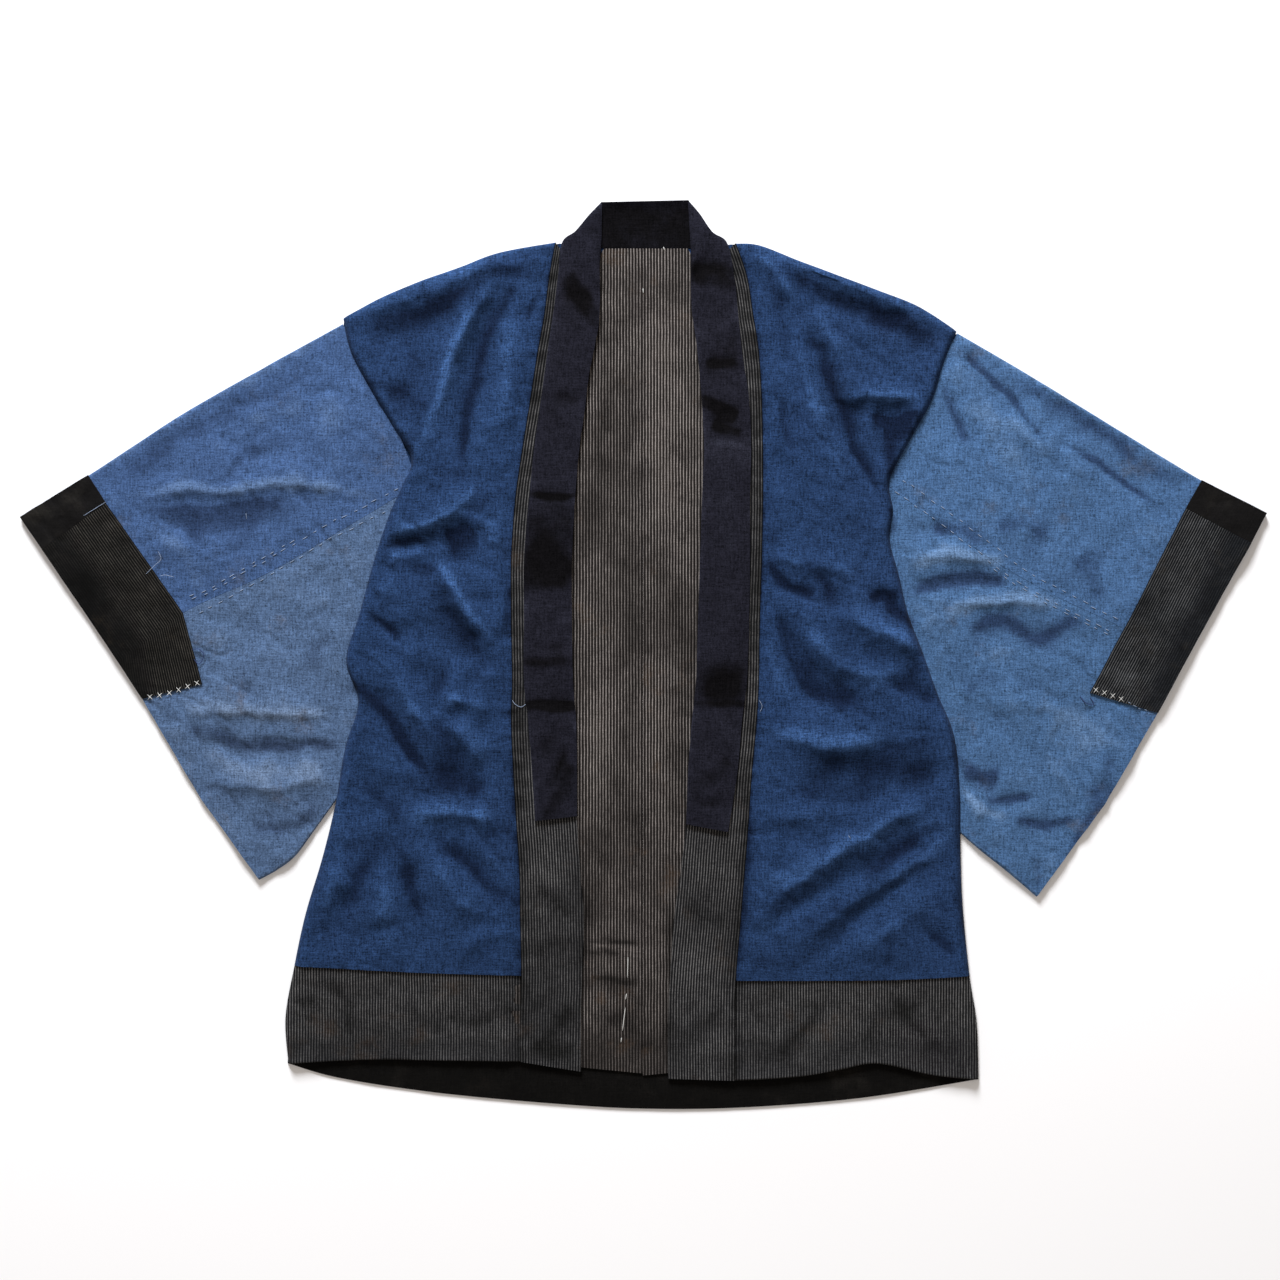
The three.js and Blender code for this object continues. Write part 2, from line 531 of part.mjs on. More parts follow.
// A sleeve: an upper cloth folded over the top of the arm and a lower one folded round the
// underarm edge, with the seam between them front and back, and a cuff on the front made from
// their points, moved out
function addSleeve(side, lines) {
  const arm = Object.fromEntries(Object.entries(lines).map(([name, line]) => [name, alongArm(line)]));
  const above = shifted(arm.seam, 0, -GAP / 2);
  const below = shifted(arm.seam, 0, GAP / 2);
  const upper = [
    ...rowsBetween(arm.top, arm.cuffTop, CUFF_TOP_ROWS),
    ...rowsBetween(arm.cuffTop, above, UPPER_ROWS),
    above,
  ];
  const backAbove = shifted(arm.backSeam, 0, -GAP / 2);
  const backBelow = shifted(arm.backSeam, 0, GAP / 2);
  const upperBack = [...rowsBetween(arm.top, backAbove, 2), backAbove];
  const lower = [
    ...rowsBetween(arm.bottom, arm.lower, BOTTOM_ROWS),
    ...rowsBetween(arm.lower, arm.cuffEnd, LOWER_ROWS),
    ...rowsBetween(arm.cuffEnd, below, CUFF_END_ROWS),
    below,
  ];
  const lowerBack = [...rowsBetween(arm.bottom, backBelow, 2), backBelow];
  const settled = (row, j) => TUCKED_SHARES[row.length - 1 - j] ?? 1;
  const heightsOf = (rows) => rows.map((row) => row.map((point, j) =>
    LINING_LEVEL + lift(...point) * settled(row, j),
  ));
  const upperSheet = (reach) => turned(upper, heightsOf(upper), upperBack, reach);
  const lowerSheet = (reach) => turned(lower, heightsOf(lower), lowerBack, reach);
  addPiece("sleeve_" + side + "_upper", upperSheet(CLOTH), upperSheet(0), FADED_BLUE);
  addPiece("sleeve_" + side + "_lower", lowerSheet(CLOTH), lowerSheet(0), FADED_BLUE);

  const onCuff = (row) => row.slice(0, CUFF_CELLS + 1);
  const cuffUnderside = (point) => sleeveUnderside(point) + CLOTH + GAP + CUFF_EASE;
  const patchRows = [
    ...upper.slice(CUFF_TOP_ROWS, -1),
    ...lower.slice(-CUFF_END_ROWS - 1, -1).reverse(),
  ].map(onCuff);
  patchRows[0] = shifted(patchRows[0], 0, GAP);
  const patch = (reach) => raised(patchRows, (point) => cuffUnderside(point) + reach);
  addPiece("cuff_" + side + "_patch", patch(CLOTH), patch(0), STRIPED);
  const topRows = upper.slice(0, CUFF_TOP_ROWS + 1).map(onCuff);
  const top = (reach) => raised(topRows, (point) => cuffUnderside(point) + reach);
  addPiece("cuff_" + side + "_top", top(CLOTH), top(0), BLACK);
}

addBody("left", LEFT_FRONT, LEFT_SHOULDER, LEFT_HEM_SEAM, LEFT_BACK, -GAP / 2);
addBody("right", RIGHT_FRONT, RIGHT_SHOULDER, RIGHT_HEM_SEAM, RIGHT_BACK, GAP / 2);
addFacingAndCollar("left", LEFT_FRONT, LEFT_NECK, -GAP / 2);
addFacingAndCollar("right", RIGHT_FRONT, RIGHT_NECK, GAP / 2);
addNape();
addHemBand("left", LEFT_FRONT, LEFT_HEM_SEAM, LEFT_HEM_EDGE, -GAP / 2);
addHemBand("right", RIGHT_FRONT, RIGHT_HEM_SEAM, RIGHT_HEM_EDGE, GAP / 2);
addBackHem();
addLining("left", "left", -GAP / 2);
addLining("right", "right", GAP / 2);
addSleeve("left", LEFT_SLEEVE);
addSleeve("right", RIGHT_SLEEVE);

export default group;
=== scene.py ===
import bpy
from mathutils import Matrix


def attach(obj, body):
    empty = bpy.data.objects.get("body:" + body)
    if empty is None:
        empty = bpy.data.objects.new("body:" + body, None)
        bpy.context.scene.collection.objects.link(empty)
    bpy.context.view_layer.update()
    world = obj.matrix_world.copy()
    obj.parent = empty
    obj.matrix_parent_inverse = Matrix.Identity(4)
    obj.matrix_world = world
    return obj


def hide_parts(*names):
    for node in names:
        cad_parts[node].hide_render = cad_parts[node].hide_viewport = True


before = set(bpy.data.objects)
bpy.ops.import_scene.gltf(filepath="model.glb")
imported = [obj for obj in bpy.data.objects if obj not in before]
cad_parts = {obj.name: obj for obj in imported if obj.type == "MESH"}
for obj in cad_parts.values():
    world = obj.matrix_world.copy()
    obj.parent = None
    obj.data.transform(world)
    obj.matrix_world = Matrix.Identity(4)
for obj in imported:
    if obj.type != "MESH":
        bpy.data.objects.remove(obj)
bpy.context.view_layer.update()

"""A short lined work jacket in the old Japanese cut, laid out flat with its fronts up.

Outlines and folds are written in millimetres on the laying-out table, x to the right and y down from
the table's far left corner. to_frame() turns table points into the row frame, in metres: +X to the
right, +Y to the collar and +Z up through the layers.
"""

from collections import namedtuple
from functools import partial

import bpy
import numpy as np
from mathutils import Vector

# Sizes, in millimetres
CLOTH = 1.2
COLLAR_CLOTH = 2.0
GAP = 0.3
BACK_LEVEL = 0.0
LINING_LEVEL = CLOTH + GAP
FRONT_LEVEL = 2 * (CLOTH + GAP)
LOFT = 3.2              # air under the fronts, where no fold is
EDGE_LOFT = 0.8         # and at their edges
TABLE_CENTRE = (643.2, 654.6)
SIDE_ROLL = 4.6         # radius of the soft roll along a front's side
HEM_ROLL = 1.6          # and of the one along its hem
MIDDLE_SEAM = 643.0     # how far right the back's middle seam is
LINING_DIP = -0.4       # the lowest that the lining's dents come
NAPE_LAP = 1.2          # how far the collar's nape goes on under its arms
FACING_V = 0.96         # the facings' length in the look, so that their stripes don't fade at the hem
FOLD_WEAR = 0.35        # how worn a folded edge is
SHARP = 0.9             # the angle between faces that meet in a crisp edge, in radians
MAP_X, MAP_Y = 1286, 1130   # the table, one cell of a map to each millimetre

# Spacing of the cloth's points, in millimetres
SLEEVE_STEP = 2.5
SLEEVE_BACK_STEP = 12.0
FACING_STEP = 2.8
COLLAR_STEP = 2.5
NAPE_STEP = 2.4
BACK_HEM_STEP = 4.0
LINING_STEP = 4.4
CUFF_STEP = 2.2
# and their number
TURN_STEPS = 8          # round a folded edge
PER_SECTION = 21        # down a front, for each of its sections
BACK_PER_SECTION = 6
FRONT_COLUMNS = 94
NAPE_ROWS = 24
BACK_HEM_HALF = 70
LINING_ROWS = 260
SLEEVE_COLUMNS = 150
CUFF_COLUMNS = 40
STRAND_SIDES = 6
STITCH_POINTS = 5

Section = namedtuple("Section", "side seam collar edge")
Arm = namedtuple("Arm", "top cuff_top seam cuff_end lower bottom back_seam")
Fold = namedtuple("Fold", "high wide lean path")
Stripes = namedtuple("Stripes", "pitch share pale strength uneven axis start end least")


def listed(text):
    """Points from text, each written as x,y."""
    return [tuple(float(number) for number in point.split(",")) for point in text.split()]


def table(text):
    """Rows of points from text, one row to a line."""
    return [listed(row) for row in text.strip().splitlines()]


def sections(text):
    """A front's sections from text, with a column for each of its lines."""
    return [Section(*row) for row in table(text)]


def folds(text):
    """Folds from text, one to a line: how high, how wide, its lean and the points of its path."""
    rows = [row.split(maxsplit=3) for row in text.strip().splitlines()]
    return [Fold(float(high), float(wide), float(lean), listed(path)) for high, wide, lean, path in rows]


# Outlines on the table. Columns: side seam collar edge
FRONTS = {
    "left": sections("""
343,318 555,242 562,243 600,300
351,352 549,277 558,277 599,322
372,392 544,315 553,315 595,345
392,425 537,355 547,355 589,375
411,459 530,400 541,400 585,408
402,486 522,450 534,450 579,452
389,515 515,500 529,500 575,500
374,560 511,560 524,560 572,560
359,615 511,620 524,620 572,620
346,660 512,680 524,680 573,680
358,702 511,720 528,720 576,720
345,748 513,770 532,770 577,768
335,805 516,821 535,821 577,816
322,858 519,870 538,870 580,870
305,915 520,920 540,920 584,920
294,966 521,976 541,976 582,976
285,1018 520,1020 540,1020 581,1020
288,1064 520,1062 540,1066 581,1072
    """),
    "right": sections("""
957,331 736,243 727,243 691,285
944,362 747,275 734,275 692,312
932,400 753,312 738,312 696,340
910,440 759,352 742,352 699,368
890,480 762,400 749,400 702,405
893,510 763,450 751,450 704,450
890,540 763,500 750,500 702,500
899,575 762,560 750,560 700,560
908,613 760,620 749,620 698,620
922,650 759,680 747,680 696,680
937,692 757,720 742,720 692,720
954,735 752,775 737,775 688,772
960,790 748,832 728,832 686,824
961,850 745,870 724,870 681,870
963,905 741,920 720,920 674,920
970,976 736,981 714,981 670,981
977,1022 735,1025 713,1025 668,1025
979,1080 735,1081 713,1082 668,1079
    """),
}
COLLAR_END = 12         # the section where the collar ends
HEM = 15                # the section of the seam over the hem band
SHOULDER = {
    "left": listed("343,318 380,298 420,281 460,267 500,252 555,242"),
    "right": listed("957,331 920,307 880,291 840,276 800,261 760,245 736,243"),
}
HEM_SEAM = {
    "left": listed("294,966 360,970 420,973 521,976"),
    "right": listed("970,976 900,980 820,981 736,981"),
}
HEM_EDGE = {
    "left": listed("288,1064 320,1062 380,1060 440,1061 520,1062"),
    "right": listed("979,1080 930,1075 878,1064 840,1070 800,1077 735,1081"),
}
# Columns: the collar's outer edge and its inner edge, from the nape to the front
NECK = {
    "left": table("""
602,201 601.3,246
590,214 600,264
576,231 600,282
    """),
    "right": table("""
688,199.5 690.7,247
699,213 691,260
712,232 691,272
    """),
}
# Columns: the nape's left end and its right end, from its top edge down
NAPE = table("""
602.5,202 687.5,200
602,227 689,227
601.7,247.4 690.2,247.4
""")
# Columns: the back's outer edge and its middle seam, from the shoulder to the hem seam
BACK = {
    "left": table("""
343,318 555,242
344.5,370 598,248
347,470 643,249
349.3,560 643,560
349.3,789 643,789
336,814 643,830
313,890 643,900
294,966 643,985
    """),
    "right": table("""
957,331 736,243
955,375 692,248
953,470 643,249
951,560 643,560
951,829 643,829
960,848 643,850
963,905 643,905
970,976 643,985
    """),
}
BACK_HEM_TOP = listed("294,966 643,985 970,976")
BACK_HEM_EDGE = listed("287,1064 340,1079 440,1094 560,1105 643,1109.5 740,1108.5 860,1099 979,1080")
LINING = {
    "left": listed("604,248 572,300 520,360 490,460 480,700 480,900 480,1058"),
    "right": listed("688,248 716,300 770,360 800,460 808,700 808,900 808,1060"),
}
ARMS = {
    # each line runs from the sleeve's mouth, over the cuff's edge, to the end under the front
    "left": Arm(
        top=listed("19.5,517 88,475 180,415 262,368 342.3,323.6"),
        cuff_top=listed("42,549 106,503 195,450 285,408 385,396"),
        seam=listed("118,662 183,613 260,577 320,543 418,484"),
        cuff_end=listed("142,699 202,684 260,672 310,664 364,655"),
        lower=listed("200,798 247,767 285,757 320,750 362,738"),
        bottom=listed("259,880 277,870 295,856 315,829 344.5,788"),
        back_seam=listed("118,662 183,627 250,600 300,580 349,560"),
    ),
    "right": Arm(
        top=listed("1267,513 1202,480 1110,424 1030,375 957.9,332.9"),
        cuff_top=listed("1251,543 1186,508 1100,462 1010,420 917,398"),
        seam=listed("1182,668 1124,629 1050,593 980,552 878,478"),
        cuff_end=listed("1158,713 1090,693 1040,680 990,668 908,650"),
        lower=listed("1104,806 1058,775 1020,765 990,755 940,738"),
        bottom=listed("1037,897 1022,884 1004,869 980,850 953.5,827"),
        back_seam=listed("1182,668 1124,640 1050,610 1000,590 951.3,560"),
    ),
}

# A fold's crest runs along its path. It is as high as given over the cloth around it, or as deep
# below zero, with flanks as wide as given; lean makes the flank below or to the left of the path
# steeper and the other one gentler.
# Columns: high wide lean path
FRONT_FOLDS = folds("""
6 15 0.3 352,324 400,303 455,280 500,266 548,256
-5 16 0 360,345 400,332 440,312 464,296
-3.5 28 0 382,388 400,402 416,432
10 15 -0.35 522,280 492,288 470,318 455,356 440,400 430,442
-7 9 0 500,300 486,330 476,370 466,410 462,450 468,476
3.5 12 0 522,300 512,340 505,390 500,442
-3 4 0 514,284 507,306 500,330
-3 4 0 543,284 537,303 530,326
10 12 0.45 378,541 402,532 430,522 452,513 470,498 476,476
-7 8 0 382,550 410,548 440,542
-9 12 0 440,543 462,539 482,524
-5 9 0 455,562 466,552 480,540
5 8 0.3 382,567 405,557 432,553
10 10 0.35 430,560 452,590 470,618 496,646
7 8 -0.2 498,642 506,610 514,574
-7 12 0 438,600 455,630 482,656
7 25 0 372,585 400,600 413,632
-4.5 5 0 364,611 382,627 399,641
-5 18 0 400,668 425,676 452,690
6 12 0 364,648 400,690 430,730 450,768
-9 7 0 350,662 364,690 382,706 402,738 420,768 436,794
8 14 0.3 438,698 462,703 494,712
8 12 0.3 450,718 466,745 484,768
-7 15 0 423,766 455,780 494,797
-4 15 0 343,768 368,785 394,802
8 16 0.4 398,812 440,813 480,818 510,827
-6 10 0 438,850 474,862 512,890
-5 9 0 343,920 356,890 378,858
-5 9 0 402,854 412,890 423,928
5 12 0 386,848 386,890 384,934
5 14 0 430,850 450,890 480,924
4.5 10 0 320,934 332,890 346,853
-3.5 6 0 460,860 490,884 517,909
3 6 0.3 452,962 480,944 514,930
-2.5 4 0 352,928 353,948 351,966
6 14 0.3 745,252 800,264 850,286 900,309 950,331
-5 12 0 798,289 850,310 900,330 936,348
6 9 0 741,262 764,262 778,278 790,308
-5 8 0 762,278 772,305 782,340 796,380 810,414
-8 8 0 795,298 810,332 823,366 842,421 866,470 889,506
7 14 0 811,298 835,350 853,402
6 13 0 785,328 806,385 822,430 847,488
9 11 0.5 828,405 860,398 890,400 932,398
-9 13 0 870,418 895,421 920,416
-7 10 0 887,426 893,446 890,470
-4 8 0 765,449 780,464 799,477
-3 6 0 780,398 785,430 793,456
-6 7 0 765,565 785,582 800,592 820,594
-5 7 0 809,558 824,585 833,620
6 12 0.2 766,539 796,560 852,572
5 10 0 837,558 852,588 863,607
-8 9 0 863,596 888,598 910,622
9 12 0.2 834,611 870,628 900,644 930,652
-9 11 0 776,610 784,640 800,664 832,690 884,709
7 16 0 805,620 826,652 860,672 907,676
-6 10 0 888,690 915,688 944,701
11 18 0.45 770,729 815,746 850,746 888,738
-8 18 0 798,776 870,780 950,772
4 16 0.2 754,811 800,818 862,812
9 15 0.4 740,930 796,882 869,836 950,785
-7 9 0 754,946 800,905 850,876 900,846 950,817
7 12 0.3 773,962 840,912 905,870 957,835
-5 8 0 798,972 845,930 895,888 942,861
5 14 0 848,964 900,920 956,879
-5 7 0 914,919 940,942 962,963
-3 5 0 890,926 892,952 890,977
-3 10 0 690,1000 716,1030 728,1062
3 9 0.3 770,1052 800,1030 822,1000
-3 8 0 800,1062 830,1030 846,1006
-2.5 14 0 420,1010 450,1022 486,1016
2.5 8 0.3 530,1058 552,1030 576,1012
""")
SLEEVE_FOLDS = folds("""
-3 10 0 100,484 200,424 290,386 328,356
6 13 0.5 112,502 180,492 250,489 320,483 384,500
-4 10 0 130,514 200,523 282,518
4 14 0 148,540 190,546 240,556
3 14 0 272,638 256,664 240,692
6.5 13 0.5 168,712 260,712 344,718
-4.5 7 0 185,734 240,748 300,747 347,751
5.5 13 0.3 202,780 270,786 338,776
-3.5 8 0 246,824 285,828 322,820
-2.5 7 0 225,440 262,452 300,446
-2 8 0 300,600 318,632 312,668
-3.5 6 0 960,345 985,375 1010,405 1041,447
-4 10 0 1020,389 1100,434 1150,470 1196,497
4 14 0 978,400 1040,446 1120,496
-3 7 0 945,385 955,420 966,452
-1.4 3 0 1058,438 1110,472 1166,511
-1.4 3 0 1100,455 1130,484 1161,516
-3.5 8 0 904,535 930,530 962,532
6.5 12 0.4 900,560 950,556 1004,563
-4.5 8 0 902,590 960,582 1012,587
6.5 11 0.5 938,607 1000,602 1064,606
-4.5 9 0 958,631 1020,633 1084,641
4 18 0.2 938,690 1010,700 1080,720
-3.5 7 0 958,778 980,782 1004,792
4 7 0.2 965,790 976,805 987,822
-2.2 4 0 985,802 1012,800 1042,797
-2.2 4 0 1018,821 1046,826 1077,827
-2 4 0 1035,858 1037,874 1035,890
3 16 0 1080,560 1110,590 1120,640
""")
# Painted light, above zero, and painted shade, below it: lighter and darker strokes for the broad planes
# and folds that face the lamp or turn from it, and for the dips of seams and tucks; a few are real fading,
# such as the rubbed spot on the right cuff. Columns: amount wide lean path
LIGHT_SHADE_AND_FADE_STROKES = folds("""
0.35 6 0 347,314 380,298 430,280 500,256
-0.75 12 -0.3 352,328 400,316 440,302 466,288 500,269 542,262
-0.5 12 0 420,300 448,290 462,282
0.45 7 -0.5 474,292 500,282 540,280
0.45 11 0.6 470,300 462,330 448,360 436,395 425,430 417,458
-0.6 8 -0.5 432,395 422,425 412,456
-0.4 8 0 362,380 385,388 412,396
-0.3 26 0 366,344 388,376 412,418
-0.25 18 0 408,330 422,352 424,390
-0.65 7 0 502,294 492,325 482,362 470,400 464,440 459,484
-0.45 5 0 514,284 504,310 490,342
-0.4 4 0 541,284 534,304 526,330
0.25 13 0 524,300 507,350 492,420 480,468
-0.3 24 0 444,455 432,490 405,522
0.5 5 0 382,540 404,533 432,525 456,516 470,500 472,472
-0.7 7 0 376,553 400,544 426,539
-1 11 0 444,541 460,533 474,526
-0.5 9 0 448,552 462,548 474,536
-0.4 6 0 478,506 498,493 516,478
0.3 8 0 484,524 500,514 514,508
0.5 5 0 386,562 402,552 424,547
-0.6 12 -0.5 400,562 430,568 450,585 470,612 494,646
0.6 5 0 426,552 450,575 466,602 482,628 496,646
-0.45 5 0 500,640 507,610 511,578
-0.35 5 0 506,560 496,578 482,592
-0.55 6 0 362,612 380,622 402,641
-0.4 20 0 436,612 464,642 478,666 450,690 418,688
0.5 9 0 404,704 430,711 454,700 464,678
0.4 9 0 456,712 472,735 485,764 492,790
-1 5 0 346,668 362,690 380,706 396,726 406,746 422,770
-0.65 19 0 404,730 442,742 452,762 426,780 470,790 494,812
-0.35 13 0 368,718 382,734 398,744
0.3 9 0 362,746 384,757 406,772
-0.5 7 0 358,778 380,800 406,818
0.45 13 0 404,818 430,820 458,810 492,824
-0.5 8 0 482,836 500,830 514,832
-0.55 11 0 424,842 456,854 488,882 520,914
0.3 9 0 484,852 500,866 513,882
-0.5 12 0 388,822 378,850 362,885 350,908
-0.5 11 0 400,836 403,870 416,905 430,928
0.25 14 0 384,876 384,910 388,950
0.25 12 0 344,770 338,830 346,872
-0.35 4 0 462,948 482,940 500,928
-0.35 4 0 470,966 486,956 506,944
0.35 6 0 746,244 800,263 860,286 940,321
-0.7 10 -0.3 756,254 780,262 800,279 840,296 880,309 928,332 936,366
-0.4 14 0 860,318 896,328 926,344
0.4 6 0 756,264 774,264 787,284 795,308
-0.45 6 0 764,268 776,294 782,322 789,350
-0.4 6 0 804,324 814,342 828,346
-0.4 6 0 834,369 844,366 856,368
-0.65 8 0.6 816,350 832,386 846,424 862,465 890,506
0.3 11 0 800,390 826,420 842,458 862,492
-1 8 -0.5 868,416 894,419 926,411
-1 10 0 884,430 900,433 914,424
-0.9 9 0 894,440 893,456 889,478
0.4 8 0 860,405 890,402 928,396
-0.4 5 0 777,388 782,428 791,458
-0.35 6 0 774,477 792,480 806,466
-0.3 8 0 812,416 824,430 828,452
-0.4 7 0 764,498 775,520 768,546
-0.75 7 0 765,558 780,576 794,587 818,592
-0.55 7 0 806,556 820,580 832,604
-1 7 0 864,597 884,592 904,594
-0.9 9 0 882,605 900,612 914,630
-0.7 4 0 890,508 894,524 888,536
0.35 8 0 846,602 878,618 912,640
-0.65 9 0.5 778,598 782,640 796,676 816,700 850,712 888,726
-0.35 18 0 800,652 822,680 862,700
-0.35 11 0 832,618 846,628 858,638
-0.3 11 0 862,654 880,654 898,650
0.35 8 0 800,612 820,640 852,657
0.35 8 0 842,676 876,680 906,664
-0.7 11 0 924,662 908,686 938,704
0.4 8 0 770,636 778,678 792,704
-0.45 5 0 764,714 776,720 786,722
0.55 9 0 764,730 800,735 850,742 888,737
-0.55 20 -0.6 792,753 860,753 904,742 948,730
-0.4 16 0 850,776 900,774 946,768
-0.3 14 0 770,790 820,794 880,800
0.45 10 0 748,894 800,870 850,846 900,830 950,814
-0.4 8 0 742,926 766,906 800,892
0.45 9 0 746,946 780,920 830,895 872,868
-0.75 10 0 794,948 816,920 850,900 876,874 902,850 934,824
0.45 9 0 918,862 936,846 954,824
0.2 14 0 850,944 896,896 930,876
-0.35 9 0 746,966 770,960 810,958
-0.45 8 0 934,908 944,912 940,922
-0.5 6 0 926,930 944,942 958,964
-0.35 6 0 884,934 890,950 889,974
-0.45 7 0 952,862 960,916 968,962
-0.5 20 0 60,560 90,600 120,655
0.6 24 0 1206,606 1195,630 1184,652
0.3 4 0 96,474 180,422 262,374 332,334
-0.5 13 0 104,492 142,462 200,428 262,396 322,366
0.3 13 0 190,452 250,418 310,408 352,432
-0.35 8 0 220,458 268,440 304,432
0.5 7 0 120,500 160,487 240,487 322,483 352,491 392,506
-0.75 10 -0.4 146,506 200,508 240,503 290,498
-0.55 14 0 176,524 214,532 262,520
0.4 9 0 146,520 172,540 190,562 202,592
-0.35 12 0 256,600 254,650 238,702
-0.3 14 0 336,634 318,648 308,676
0.45 9 0 172,702 240,712 300,715 342,704
-0.75 8 0 188,724 240,742 292,745 347,748
-0.4 7 0 160,714 184,722 204,732
0.4 11 0 186,744 228,764 280,771 334,768
-0.4 8 0 212,778 230,788 250,790
-0.5 14 0 246,834 286,824 330,806
0.3 10 0 206,800 226,826 244,854
0.3 4 0 966,340 1050,388 1130,436 1196,474
-0.95 4 0.4 960,345 980,370 1006,396 1032,426 1050,450
-0.6 10 0 990,372 1036,394 1094,426 1150,464 1194,490
-0.8 6 0 945,376 955,410 968,450
-0.55 3 0 1060,440 1110,470 1166,511
-0.55 3 0 1080,446 1120,476 1158,516
0.4 14 0 968,400 1010,450 1040,500
-0.6 10 0 930,532 962,528 986,544
-0.7 10 0 992,532 1020,524 1052,536
-0.55 13 0 1074,552 1096,580 1104,602
0.8 8 0 912,572 950,551 986,560 1014,572
-0.95 8 0 906,596 950,580 982,579 1014,586
0.7 8 0 938,620 990,600 1040,601 1074,606
-0.85 9 0 958,640 990,620 1012,626 1040,640 1074,621 1092,636
-0.45 12 0 958,692 980,682 1002,668
0.4 16 0 1000,702 1040,708 1090,724
-1 9 0 964,768 982,776 1002,776
0.7 5 0 962,784 980,805 1012,820
-0.8 6 0 984,802 1010,801 1036,796
-0.8 5 0 1012,820 1048,826 1082,820
-0.6 9 0 1112,740 1102,790 1084,838
-0.4 11 0 940,668 962,655 985,640
-0.5 8 0 952,742 960,762 978,778
-0.3 13 0 990,706 1016,703 1044,708
0.35 15 0 984,668 1002,652 1026,656
0.3 18 0 1046,740 1072,742 1096,716
-0.4 4 0 1034,852 1038,870 1035,890
-0.6 4 0 1156,724 1104,804 1052,880
-0.5 4 0 966,834 1000,864 1032,890
0.3 5 0 104,634 126,604 150,588 170,576
-0.3 13 0 634,262 629,450 632,700 630,930
0.3 24 0 660,280 664,400 662,560
-0.3 30 0 620,1000 645,1030 650,1060
-0.6 7 0 440,1018 480,1022 516,1006
-0.5 6 0 318,972 346,1000 352,1040
-0.5 8 0 404,1000 424,1022 448,1036
-0.7 6 0 292,998 304,1002 316,1000
-0.6 8 0 534,880 550,900 572,916
0.4 8 0 528,862 548,876 574,884
-0.5 9 0 530,960 552,944 574,948
-0.6 9 0 536,1050 556,1022 580,1006
-0.7 8 0 776,1058 800,1034 822,1002
0.5 9 0 790,1062 816,1040 838,1008
-0.5 9 0 856,1052 884,1020 920,1000
-0.5 7 0 892,998 920,1030 944,1058
-0.6 9 0 676,1046 704,1020 728,1010
-0.5 10 0 684,900 704,920 730,930
0.4 9 0 680,950 702,964 728,962
-0.7 4 0 668,892 668,960 669,1056
-0.5 4 0 584,840 583,940 584,1040
-0.9 2.5 0 586,944 612,942 640,945
0.6 3 0 588,949 612,948 638,951
-0.7 2.5 0 586,955 600,954 616,956
-1 3 0 586,979 612,978 638,981
-0.7 8 0 524,1046 550,1052 578,1050
-0.5 9 0 596,1030 614,1020 640,1030
-0.4 9 0 604,300 606,420 584,560
0.35 10 0 598,640 596,740 600,840
-0.35 12 0 680,560 682,700 672,860
""")
# Painted shade along the collar's dents, painted highlights on their edges, and darker blocks across the
# collar
COLLAR_LIGHT_AND_SHADE_STROKES = folds("""
-0.8 46 0 500,547 550,548 600,546
-0.45 19 0 500,574 550,572 600,575
-0.7 3 0 500,496 550,498 600,496
0.3 3 0 536,504 570,502 600,500
-0.75 6 0 500,661 550,662 600,658
-0.9 6 0 500,707 550,705 600,701
-0.5 9 0 574,764 562,788 540,820
-0.6 10 0 566,276 584,300 602,330
-0.7 13 0 690,272 715,274 740,280
-0.5 5 0 704,361 726,362 752,367
-0.8 8 0 698,402 718,406 738,414
-0.8 7 0 714,424 726,430 742,433
0.3 3 0 698,442 722,444 748,448
-0.75 22 0 680,676 720,679 764,684
-0.5 4 0 680,700 720,703 764,706
-0.35 9 0 690,794 706,780 728,760
""")
COLLAR_DENTS = folds("""
-0.9 6 0 528,502 552,499 577,501
-0.8 16 0 522,566 548,564 574,566
-0.8 8 0 522,648 548,647 574,649
-0.9 5 0 524,703 548,702 576,704
-1 5 0 572,738 556,770 538,802
-0.8 12 0 694,262 712,264 732,262
-0.9 6 0 702,361 722,359 744,361
-1 12 0 704,426 724,418 746,412
-0.8 16 0 698,688 722,686 746,688
-0.9 6 0 690,800 708,806 730,804
-0.8 9 0 556,300 574,296 598,300
-0.7 8 0 546,400 562,396 584,402
""")
TUCKS = folds("""
0.9 2.6 0.3 582,980 608,981 634,979
0.7 2.4 0.3 584,951 598,952 612,950
-0.6 2 0 643,250 641,600 640,1070
""")


def by_sections(points, per_section):
    """Points of the Catmull-Rom curve through the given ones, with as many to each section as given."""
    p = np.asarray(points, float)
    padded = np.vstack([p[:1], p, p[-1:]])
    t = np.linspace(0, 1, per_section, endpoint=False)[:, None]
    a, b, c, d = (padded[i:len(p) - 1 + i, None] for i in range(4))
    bend = 2 * a - 5 * b + 4 * c - d
    twist = 3 * (b - c) + d - a
    fine = b + 0.5 * t * (c - a + t * (bend + t * twist))
    return np.vstack([fine.reshape(-1, p.shape[1]), p[-1:]])


def through(points, count=None):
    """Points of the same curve, spaced evenly along it: as many as given, or one to a millimetre."""
    fine = by_sections(points, 24)
    walked = np.concatenate([[0], np.cumsum(np.linalg.norm(np.diff(fine, axis=0), axis=1))])
    if count is None:
        count = max(2, int(np.ceil(walked[-1])) + 1)
    even = np.linspace(0, walked[-1], count)
    return np.stack([np.interp(even, walked, column) for column in fine.T], axis=1)


ROW_Y, COLUMN_X = np.mgrid[0:MAP_Y, 0:MAP_X].astype(float)


def eased(t):
    """The smooth step 3t^2 - 2t^3, held at 0 and 1 beyond its ends."""
    t = np.clip(t, 0, 1)
    return t * t * (3 - 2 * t)


